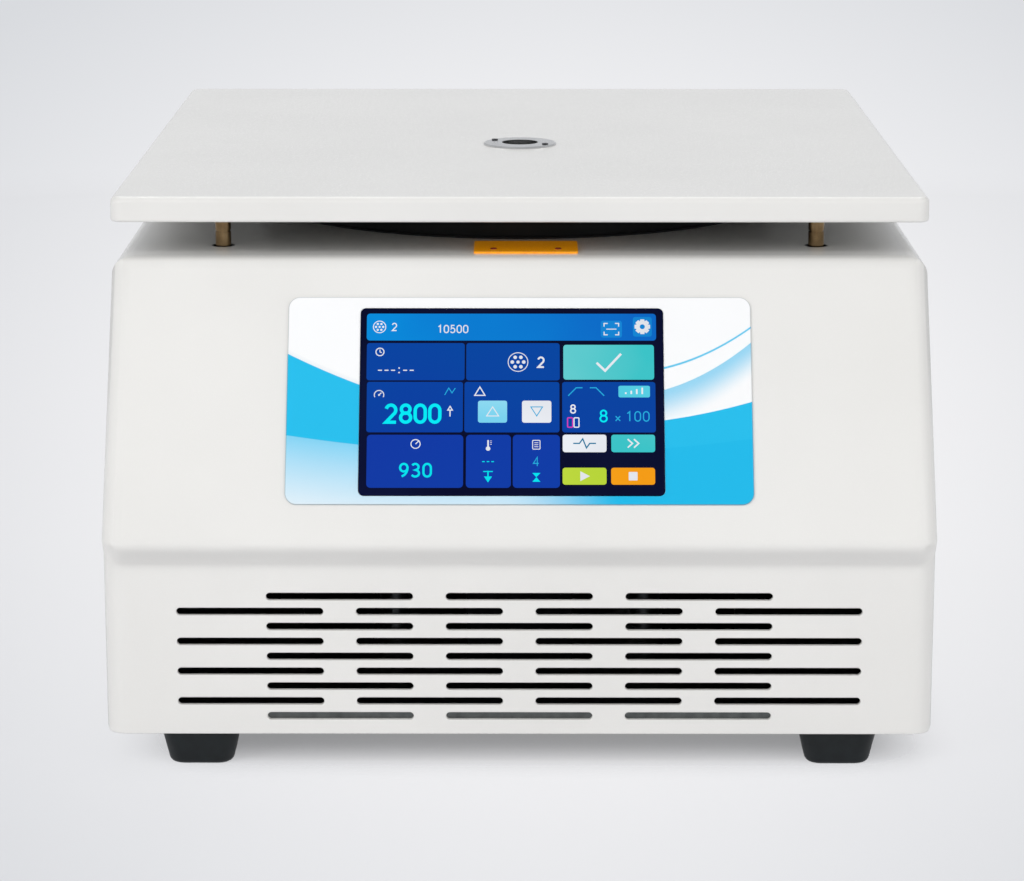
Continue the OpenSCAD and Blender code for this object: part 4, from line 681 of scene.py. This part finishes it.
class Print:
    """Thin closed films on a flat face, in millimetres to the right and up from the face's middle."""

    def __init__(self, name, face, lift, palette):
        self.name = name
        self.face = face
        self.lift = lift
        self.palette = palette
        self.finishes = list(palette)
        self.mesh = bmesh.new()

    def film(self, points, colour):
        """A closed film over an outline that runs anticlockwise."""
        index = self.finishes.index(colour)
        low = [self.mesh.verts.new((x * MM, y * MM, self.lift)) for x, y in points]
        high = [self.mesh.verts.new((x * MM, y * MM, self.lift + FILM)) for x, y in points]
        faces = [self.mesh.faces.new(high), self.mesh.faces.new(low[::-1])]
        for i in range(len(points)):
            j = (i + 1) % len(points)
            faces.append(self.mesh.faces.new((low[i], low[j], high[j], high[i])))
        for face in faces:
            face.material_index = index

    def tile(self, x0, x1, y0, y1, colour, corner):
        self.film(rounded(x0, x1, y0, y1, corner), colour)

    def disc(self, x, y, radius, colour, steps=24):
        self.film(circle_at(x, y, radius, steps), colour)

    def stroke(self, points, width, colour, closed=False):
        """A line of even width through points, mitred at its corners."""
        index = self.finishes.index(colour)
        count = len(points)
        rails = []
        for i, (x, y) in enumerate(points):
            before = Vector(points[i - 1]) if closed or i else None
            after = Vector(points[(i + 1) % count]) if closed or i < count - 1 else None
            here = Vector((x, y))
            into = (here - before).normalized() if before else None
            away = (after - here).normalized() if after else None
            along = (into + away).normalized() if into and away else into or away
            side = Vector((-along.y, along.x))
            square = Vector((-(into or away).y, (into or away).x))
            reach = width / 2 / max(MITRE_LIMIT, side.dot(square))
            rails.append((here + side * reach, here - side * reach))
        levels = (self.lift, self.lift + FILM)
        rings = []
        for left, right in rails:
            corners = [(left, levels[0]), (right, levels[0]), (right, levels[1]), (left, levels[1])]
            rings.append([self.mesh.verts.new((p.x * MM, p.y * MM, z)) for p, z in corners])
        pairs = list(zip(rings, rings[1:]))
        if closed:
            pairs.append((rings[-1], rings[0]))
        for a, b in pairs:
            for k in range(4):
                face = self.mesh.faces.new((a[k], b[k], b[(k + 1) % 4], a[(k + 1) % 4]))
                face.material_index = index
        if not closed:
            for face in (self.mesh.faces.new(rings[0]), self.mesh.faces.new(rings[-1][::-1])):
                face.material_index = index

    def number(self, figures, x, y, height, colour, weight=0.16, spread=0.86, turn=0.0):
        """Figures centred on a point. weight and spread are shares of their height."""
        step = spread * height
        start = -step * (len(figures) - 1) / 2
        cos, sin = math.cos(turn), math.sin(turn)
        for i, figure in enumerate(figures):
            for points, closed in FIGURES[figure]:
                line = []
                for u, v in points:
                    px = start + i * step + (u - FIGURE_WIDTH / 2) * height
                    py = (v - 0.5) * height
                    line.append((x + px * cos - py * sin, y + px * sin + py * cos))
                self.stroke(line, weight * height, colour, closed)

    def done(self, body, slot):
        """Lays the films on the face, as one piece on a body. The slot argument is not used."""
        bmesh.ops.recalc_face_normals(self.mesh, faces=self.mesh.faces)
        data = bpy.data.meshes.new(self.name)
        self.mesh.to_mesh(data)
        self.mesh.free()
        for finish in self.finishes:
            data.materials.append(self.palette[finish])
        data.transform(self.face)
        piece = bpy.data.objects.new(self.name, data)
        bpy.context.scene.collection.objects.link(piece)
        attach(piece, body)


# ---- The lit screen ----

LCD_PIXEL = 0.15 * MM
LAYER = 0.06 * MM
TILE_LIFT, KEY_LIFT, SIGN_LIFT = (count * LAYER + (count - 1) * FILM for count in (1, 2, 3))
BLACK = (0.0, 0.0, 0.0, 1.0)
UNLIT = (0.001, 0.001, 0.003, 1.0)
DIM_BLUE = srgb(0, 20, 60)


def lit(name, colour, other=None, across=(0.0, 0.0), span=80.0):
    """A lit area of the display: a slow change of colour and the faint grid of its pixels."""
    f = Finish(name)
    x, y = f.across_panel()
    grid = [f.math("PINGPONG", f.math("DIVIDE", axis, LCD_PIXEL), 0.5) for axis in (x, y)]
    dots = f.span(f.math("MULTIPLY", *grid), 0.0, 0.25, 0.94, 1.04)
    drift = f.noise(45 * MM, 1.0)
    if other:
        run = f.math("ADD", f.math("MULTIPLY", x, across[0]), f.math("MULTIPLY", y, across[1]))
        share = f.math("ADD", f.span(run, -span * MM, span * MM, 0.0, 1.0), f.vary(drift, -0.12, 0.12))
        tone = f.mix(share, colour, other)
    else:
        tone = f.mix(f.vary(drift, 0.0, 0.12), colour, DIM_BLUE)
    f.surface(UNLIT, 0.12, Specular_IOR_Level=0.02, Emission_Strength=1.0)
    f.feed(f.shader.inputs["Emission Color"], f.mix(dots, BLACK, tone))
    return f.material


LCD = {
    "header": lit("lcd_header", srgb(4, 140, 222), srgb(8, 104, 200), (1.0, 0.1)),
    "tile": lit("lcd_tile", srgb(8, 62, 164), srgb(3, 72, 162), (0.3, 1.0), 60.0),
    "low_tile": lit("lcd_low_tile", srgb(16, 58, 166), srgb(12, 62, 170), (1.0, 0.0)),
    "chip": lit("lcd_chip", srgb(56, 184, 216), srgb(90, 212, 232), (1.0, 0.0)),
    "teal": lit("lcd_teal", srgb(140, 220, 222), srgb(60, 198, 202), (1.0, -0.6), 60.0),
    "sky": lit("lcd_sky", srgb(124, 214, 242), srgb(160, 228, 246), (0.0, 1.0), 10.0),
    "white": lit("lcd_white", srgb(240, 243, 249)),
    "green": lit("lcd_green", srgb(206, 226, 74), srgb(182, 214, 52), (1.0, 0.4), 60.0),
    "orange": lit("lcd_orange", srgb(253, 178, 30), srgb(248, 158, 16), (1.0, 0.4), 60.0),
    "cyan": lit("lcd_cyan", srgb(2, 238, 250)),
    "aqua": lit("lcd_aqua", srgb(40, 176, 226)),
    "pink": lit("lcd_pink", srgb(226, 64, 190)),
    "ink": lit("lcd_ink", srgb(20, 120, 160)),
    "glyph": lit("lcd_glyph", srgb(20, 140, 222)),
}


# Each is (left, right, low, high, colour, corner radius), in millimetres from the glass's middle.
TILES = (
    (-79.6, 79.1, 34.9, 50.5, "header", 1.8),
    (-79.4, -25.8, 11.9, 33.4, "tile", 1.5),
    (-24.9, 26.2, 11.9, 33.4, "tile", 1.5),
    (-79.1, -26.6, -17.9, 11.0, "tile", 1.5),
    (-25.8, 26.0, -17.9, 11.0, "tile", 1.5),
    (27.5, 78.4, -17.9, 11.0, "tile", 1.5),
    (-78.7, -26.3, -49.4, -19.3, "low_tile", 2.2),
    (-24.8, -0.4, -49.4, -19.3, "low_tile", 2.2),
    (0.6, 26.2, -49.4, -19.3, "low_tile", 2.2),
)
KEYS = (
    (28.2, 77.8, 12.3, 32.4, "teal", 1.6),
    (-18.4, -2.5, -12.4, 0.2, "sky", 1.3),
    (5.6, 21.6, -12.4, 0.2, "white", 1.3),
    (27.7, 51.5, -29.2, -19.2, "white", 1.5),
    (54.1, 77.9, -29.2, -19.2, "teal", 1.5),
    (27.6, 51.4, -47.6, -38.0, "green", 1.5),
    (53.9, 77.7, -47.6, -38.0, "orange", 1.5),
    (58.2, 75.4, 2.1, 8.8, "chip", 1.0),
    (48.8, 60.4, 36.6, 46.4, "glyph", 1.4),
    (66.4, 76.8, 37.2, 48.6, "glyph", 1.4),
)


def screen_tiles(name, lift, tiles):
    p = Print(name, PANEL, lift, LCD)
    for tile in tiles:
        p.tile(*tile)
    p.done("base", "screen")


TEETH = 8
# One tooth's outline: (share of the pitch from its middle, share of the wheel's reach).
TOOTH = ((-0.32, 0.76), (-0.2, 1.0), (0.2, 1.0), (0.32, 0.76))


def gear(p, x, y, radius, colour):
    """A settings wheel: teeth round a ring, with a hub."""
    reach = 0.86 * radius
    outline = []
    for tooth in range(TEETH):
        for share, out in TOOTH:
            angle = 2 * math.pi * (tooth + share) / TEETH
            outline.append((x + out * reach * math.cos(angle), y + out * reach * math.sin(angle)))
    p.stroke(outline, radius * 0.28, colour, True)
    p.stroke(circle_at(x, y, radius * 0.5), radius * 0.34, colour, True)


def clock(p, x, y, radius, colour):
    """A dial with two hands."""
    p.stroke(circle_at(x, y, radius), 0.55, colour, True)
    p.stroke([(x, y + radius * 0.62), (x, y), (x + radius * 0.45, y - radius * 0.2)], 0.5, colour)


def rotor_sign(p, x, y, radius, colour):
    """A rotor seen from above: a ring with six tube mouths."""
    p.stroke(circle_at(x, y, radius, 30), 0.45, colour, True)
    for mouth in circle_at(x, y, radius * 0.58, 6):
        p.disc(*mouth, radius * 0.19, colour, 10)
    p.disc(x, y, radius * 0.17, colour, 10)


def gauge(p, x, y, radius, colour):
    """An open dial with a needle."""
    dial = [(x + dx, y + dy) for dx, dy in circle(radius, 20, -0.5, math.pi + 1.0)]
    p.stroke(dial, 0.5, colour)
    p.stroke([(x, y), (x + radius * 0.52, y + radius * 0.52)], 0.5, colour)
    p.disc(x, y, 0.55, colour, 10)


def thermometer(p, x, y, colour):
    """A bulb, its tube and three marks."""
    p.disc(x, y - 2.2, 1.25, colour, 14)
    p.stroke([(x, y - 2.0), (x, y + 2.6)], 0.9, colour)
    for step in range(3):
        p.stroke([(x + 1.1, y + 0.2 + step), (x + 2.0, y + 0.2 + step)], 0.3, colour)


def folder_sign(p, x, y, colour):
    """A stored programme: a sheet with three lines."""
    p.stroke(rounded(x - 2.0, x + 2.0, y - 2.5, y + 2.5, 0.4, 2), 0.45, colour, True)
    for step in (-1, 0, 1):
        p.stroke([(x - 1.1, y + 1.15 * step), (x + 1.1, y + 1.15 * step)], 0.35, colour)


def triangle(p, x, y, width, height, colour):
    """An upright triangle in outline."""
    low = y - height / 2
    p.stroke([(x - width / 2, low), (x + width / 2, low), (x, y + height / 2)], 0.5, colour, True)


def header_signs(p):
    """The settings wheel, a line between four corners, and the rotor in use."""
    gear(p, 71.6, 42.9, 4.3, "white")
    for sx in (-1, 1):
        for sy in (-1, 1):
            near, far = 54.6 + sx * 2.0, 54.6 + sx * 4.0
            corner = [(far, 41.5 + sy * 1.5), (far, 41.5 + sy * 3.3), (near, 41.5 + sy * 3.3)]
            p.stroke(corner, 0.6, "white")
    p.stroke([(51.8, 41.5), (57.4, 41.5)], 0.5, "white")
    rotor_sign(p, -72.6, 42.7, 3.4, "white")


def top_signs(p):
    """A clock over dashes that stand for no set time, and the rotor."""
    clock(p, -72.2, 28.2, 2.2, "white")
    for x in (-73.2, -69.6, -66.0, -59.4, -55.8):
        p.stroke([(x, 17.6), (x + 2.2, 17.6)], 0.6, "white")
    for y in (16.3, 18.9):
        p.disc(-61.6, y, 0.45, "white", 8)
    rotor_sign(p, 3.4, 22.4, 5.4, "white")


def middle_signs(p):
    """The speed's gauge and curve, the keys that raise and lower, the ramps and the level."""
    gauge(p, -72.4, 3.4, 2.6, "white")
    p.stroke([(-36.6, 3.4), (-34.4, 7.4), (-32.6, 4.6), (-30.8, 7.4)], 0.5, "aqua")
    p.stroke([(-33.6, -8.9), (-33.6, -4.9)], 0.6, "white")
    triangle(p, -33.6, -4.2, 2.6, 2.2, "white")
    p.stroke([(-20.2, 3.2), (-17.4, 8.0), (-14.6, 3.2)], 0.6, "white", True)
    triangle(p, -10.4, -6.0, 6.6, 5.2, "white")
    p.stroke([(10.4, -3.4), (16.8, -3.4), (13.6, -8.6)], 0.5, "aqua", True)
    p.stroke([(30.8, 3.0), (35.2, 7.6), (38.6, 7.6)], 0.6, "aqua")
    p.stroke([(42.6, 7.6), (46.0, 7.6), (50.4, 3.0)], 0.6, "aqua")
    for k in range(4):
        p.stroke([(62.2 + 3.0 * k, 4.0), (62.2 + 3.0 * k, 5.0 + 0.9 * k)], 0.9, "white")
    p.stroke(rounded(30.4, 33.2, -15.0, -9.6, 0.5, 2), 0.6, "pink", True)
    p.stroke(rounded(33.9, 36.6, -15.0, -9.6, 0.5, 2), 0.6, "white", True)


def key_signs(p):
    """A tick, a pulse, a double arrow, start and stop."""
    p.stroke([(46.4, 22.0), (51.0, 17.4), (59.8, 27.2)], 1.3, "white")
    pulse = [(33.4, -24.2), (36.8, -24.2), (38.6, -21.6), (40.6, -26.8), (42.4, -24.2), (45.8, -24.2)]
    p.stroke(pulse, 0.7, "ink")
    for x in (63.0, 66.4):
        p.stroke([(x, -21.8), (x + 2.6, -24.2), (x, -26.6)], 0.8, "white")
    p.film([(37.2, -45.6), (42.4, -42.8), (37.2, -40.0)], "white")
    p.tile(63.4, 68.2, -45.2, -40.4, "white", 0.4)


def low_signs(p):
    """A clock, the thermometer over an arrow to a bar, and a stored programme over a sandglass."""
    p.stroke(circle_at(-52.2, -24.6, 2.5), 0.5, "white", True)
    p.stroke([(-52.2, -24.6), (-50.2, -22.6)], 0.5, "white")
    thermometer(p, -12.8, -25.0, "white")
    for k in range(3):
        p.stroke([(-16.0 + 2.5 * k, -34.6), (-14.6 + 2.5 * k, -34.6)], 0.55, "cyan")
    p.stroke([(-12.8, -39.8), (-12.8, -43.6)], 0.8, "cyan")
    p.film([(-15.0, -43.0), (-12.8, -46.4), (-10.6, -43.0)], "cyan")
    p.stroke([(-15.4, -40.2), (-10.2, -40.2)], 0.6, "cyan")
    folder_sign(p, 13.4, -25.0, "white")
    p.film([(11.2, -41.0), (13.4, -43.4), (15.6, -41.0)], "cyan")
    p.film([(11.2, -46.0), (15.6, -46.0), (13.4, -43.4)], "cyan")


def screen_signs():
    p = Print("screen_signs", PANEL, SIGN_LIFT, LCD)
    for signs in (header_signs, top_signs, middle_signs, key_signs, low_signs):
        signs(p)
    p.done("base", "screen")


# Each is (figures, across, up, height, colour, weight, spread), as Print.number takes them.
READINGS = (
    ("2800", -53.8, -7.3, 9.8, "cyan", 0.19, 0.81),
    ("930", -52.1, -39.5, 7.2, "cyan", 0.17, 0.88),
    ("8", 50.0, -8.6, 6.4, "cyan", 0.15),
    ("x", 57.8, -8.8, 5.6, "aqua", 0.11),
    ("100", 68.6, -8.8, 5.4, "aqua", 0.12),
    ("8", 33.4, -4.6, 4.6, "white", 0.16),
    ("10500", -32.4, 41.5, 4.2, "white", 0.15, 0.84),
    ("2", -64.4, 42.7, 4.2, "white", 0.14),
    ("2", 16.0, 22.3, 5.6, "white", 0.18),
    ("4", 13.2, -34.6, 5.0, "aqua", 0.12),
)


def screen_figures():
    p = Print("screen_figures", PANEL, SIGN_LIFT, LCD)
    for reading in READINGS:
        p.number(*reading)
    p.done("base", "screen")


screen_tiles("screen_tiles", TILE_LIFT, TILES)
screen_tiles("screen_keys", KEY_LIFT, KEYS)
screen_signs()
screen_figures()


# ---- The rotor's position numbers and the switch's marks ----

MARK = {
    "engraved": enamel("engraved", srgb(58, 60, 64), srgb(48, 50, 54), 0.5),
    "white": enamel("white_print", srgb(228, 230, 232), srgb(218, 220, 223), 0.45),
}
MARK_LIFT = 0.02 * MM
BORES = 6
NUMBER_HEIGHT = 3.4
MARK_LENGTH = 4.4
LINE_WEIGHT, RING_WEIGHT = 0.8, 0.7
# The rocker's press faces look backwards by more than PRESS_OUT, and the raised one also looks down.
PRESS_OUT = 0.85
PRESS_DOWN = -0.2


def rotor_numbers():
    """One number beside each bore, on the flat rim of the head."""
    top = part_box("rotor_head")[1].z
    rim = [vertex.co for vertex in NODES["rotor_head"].data.vertices if vertex.co.z > top - WELD]
    reach = [math.hypot(point.x - SPIN.x, point.y - SPIN.y) for point in rim]
    radius = (min(reach) + max(reach)) / 2 / MM
    p = Print("rotor_numbers", Matrix.Translation((SPIN.x, SPIN.y, top)), MARK_LIFT, MARK)
    for bore, place in enumerate(circle(radius, BORES)):
        turn = 2 * math.pi * bore / BORES - math.pi / 2
        p.number(str(bore + 1), *place, NUMBER_HEIGHT, "engraved", turn=turn)
    p.done("rotor", "cast_alloy")


def press_face(raised):
    """The frame of one of the rocker's faces. At rest one is raised and leans, the other is level."""
    faces = [face for face in NODES["rocker"].data.polygons
             if face.normal.y > PRESS_OUT and (face.normal.z < PRESS_DOWN) == raised]
    area = sum(face.area for face in faces)
    out = sum((face.normal * face.area for face in faces), Vector()).normalized()
    return face_frame(sum((face.center * face.area for face in faces), Vector()) / area, out, Z)


def switch_marks():
    """A line on the rocker's raised face for on, and a ring on the other for off."""
    line = Print("switch_on", press_face(True), MARK_LIFT, MARK)
    line.stroke([(0.0, -MARK_LENGTH / 2), (0.0, MARK_LENGTH / 2)], LINE_WEIGHT, "white")
    line.done("switch", "black_plastic")
    ring = Print("switch_off", press_face(False), MARK_LIFT, MARK)
    ring.stroke(circle(MARK_LENGTH / 2), RING_WEIGHT, "white", True)
    ring.done("switch", "black_plastic")


rotor_numbers()
switch_marks()


# ---- Camera, light and floor ----

# Fitted to about 40 points of the photograph, which also give the object's proportions.
CAMERA_PLACE = Vector((0.0014, -2.0855, 0.597))
CAMERA_DOWN = math.radians(12.845)
CAMERA_YAW = math.radians(0.17)
CAMERA_LENS = 121.3
CAMERA_SENSOR = 36.0
CAMERA_NEAR = 0.05


def camera():
    data = bpy.data.cameras.new("camera")
    data.lens = CAMERA_LENS
    data.sensor_width = CAMERA_SENSOR
    data.clip_start = CAMERA_NEAR
    eye = bpy.data.objects.new("camera", data)
    eye.rotation_euler = (math.pi / 2 - CAMERA_DOWN, 0.0, CAMERA_YAW)
    eye.location = CAMERA_PLACE
    bpy.context.scene.collection.objects.link(eye)
    bpy.context.scene.camera = eye


# Each lamp is (name, place, the point it faces, width, height, watts, whether the object mirrors it).
LAMPS = (
    ("front_top_light", (0.0, -1.6, 2.1), (0.0, 0.0, 0.2), 2.0, 1.0, 9.0, False),
    ("back_top_light", (0.0, 1.2, 2.1), (0.0, 0.0, 0.3), 1.8, 0.7, 15.5, True),
    ("rear_light", (0.0, 2.8, 1.0), (0.0, 0.0, 0.15), 2.0, 0.9, 8.0, False),
    ("low_front_light", (0.0, -3.0, 0.6), (0.0, 0.0, 0.15), 2.4, 0.8, 7.0, False),
    ("left_light", (-1.9, -2.1, 1.45), (0.0, 0.0, 0.2), 1.1, 1.7, 27.5, False),
    ("left_side_light", (-2.6, -0.9, 1.3), (0.0, 0.0, 0.2), 1.6, 1.2, 7.5, False),
    ("right_light", (2.1, -2.0, 1.45), (0.0, 0.0, 0.2), 0.9, 1.7, 18.5, False),
    ("right_side_light", (2.6, -0.8, 1.1), (0.0, 0.0, 0.2), 1.4, 1.2, 7.0, False),
)


def soft_light(name, place, target, width, height, power, mirrored):
    """A rectangular lamp that faces target."""
    data = bpy.data.lights.new(name, "AREA")
    data.shape = "RECTANGLE"
    data.size = width
    data.size_y = height
    data.energy = power
    lamp = bpy.data.objects.new(name, data)
    lamp.location = place
    lamp.visible_glossy = mirrored
    lamp.rotation_euler = (Vector(target) - Vector(place)).to_track_quat("-Z", "Y").to_euler()
    bpy.context.scene.collection.objects.link(lamp)


BACKDROP_RIM = srgb(217, 219, 223)
BACKDROP_POOL = srgb(244, 244, 246)
POOL_DIRECTION = (0.0105, 0.0, -0.2306)
POOL_ACROSS, POOL_UP = 0.18, 0.135
POOL_FADE = (0.58, 1.3)
FILL = 0.3
WHITE = (1.0, 1.0, 1.0, 1.0)


def backdrop_colour(t):
    """Pale grey that lightens to a soft oval pool of light behind the object."""
    off = t.vector_math("SUBTRACT", t.add("TexCoord").outputs["Generated"], POOL_DIRECTION)
    oval = t.vector_math("MULTIPLY", off, (1 / POOL_ACROSS, 0.0, 1 / POOL_UP))
    share = t.span(t.vector_math("LENGTH", oval), *POOL_FADE, 0.0, 1.0)
    return t.mix(share, BACKDROP_POOL, BACKDROP_RIM)


def backdrop():
    """The world: the pale backdrop for rays that show it, and an even fill for the rest."""
    world = bpy.data.worlds.new("studio")
    bpy.context.scene.world = world
    world.use_nodes = True
    t = Tree(world.node_tree)
    fill = t.add("Background", {"Color": WHITE, "Strength": FILL}).outputs[0]
    shown = t.add("Background", {"Color": backdrop_colour(t)}).outputs[0]
    mix = t.add("MixShader", {0: t.shown_ray(), 1: fill, 2: shown})
    t.add("OutputWorld", {"Surface": mix.outputs[0]})


FLOOR_HALF = 6.0
FLOOR_LIGHT, FLOOR_DARK = srgb(232, 232, 235), srgb(229, 229, 232)
# The floor's colour gives way to the backdrop by these shares, near the object and away from it.
VEIL_NEAR, VEIL_FAR = 0.3, 0.9
VEIL_INSET = 60 * MM
VEIL_SHIFT = 10 * MM
VEIL_REACH = 75 * MM
FLOOR_FADE = (0.7, 1.8)


def outside(f):
    """How far a point of the floor lies outside the object's footprint, drawn in by the veil's inset."""
    low, high = (Vector(corner) for corner in cad_box)
    middle = (low + high) / 2 + VEIL_SHIFT * X
    half = (high - low) / 2 - VEIL_INSET * (X + Y)
    away = f.vector_math("ABSOLUTE", f.vector_math("SUBTRACT", f.place, tuple(middle)))
    beyond = f.vector_math("MAXIMUM", f.vector_math("SUBTRACT", away, tuple(half)), (0, 0, 0))
    return f.vector_math("LENGTH", f.vector_math("MULTIPLY", beyond, (1, 1, 0)))


def floor():
    """A pale table top that keeps the object's shadow and fades into the backdrop away from it."""
    f = Finish("floor")
    f.surface(f.blend(f.noise(2 * MM, 2.0), FLOOR_LIGHT, FLOOR_DARK), 0.6, Specular_IOR_Level=0.2)
    away = outside(f)
    veil = f.span(away, 0.0, VEIL_REACH, VEIL_NEAR, VEIL_FAR, "SMOOTHSTEP")
    veil = f.math("MULTIPLY", f.shown_ray(), veil)
    f.let_through(f.math("MAXIMUM", f.span(away, *FLOOR_FADE, 0.0, 1.0, "SMOOTHSTEP"), veil))
    data = bpy.data.meshes.new("floor")
    corners = [(-1, -1), (1, -1), (1, 1), (-1, 1)]
    data.from_pydata([(x * FLOOR_HALF, y * FLOOR_HALF, 0.0) for x, y in corners], [], [(0, 1, 2, 3)])
    data.materials.append(f.material)
    plane = bpy.data.objects.new("floor", data)
    bpy.context.scene.collection.objects.link(plane)


camera()
backdrop()
floor()
for lamp in LAMPS:
    soft_light(*lamp)
bpy.context.scene.view_settings.view_transform = "Standard"

bpy.context.view_layer.update()
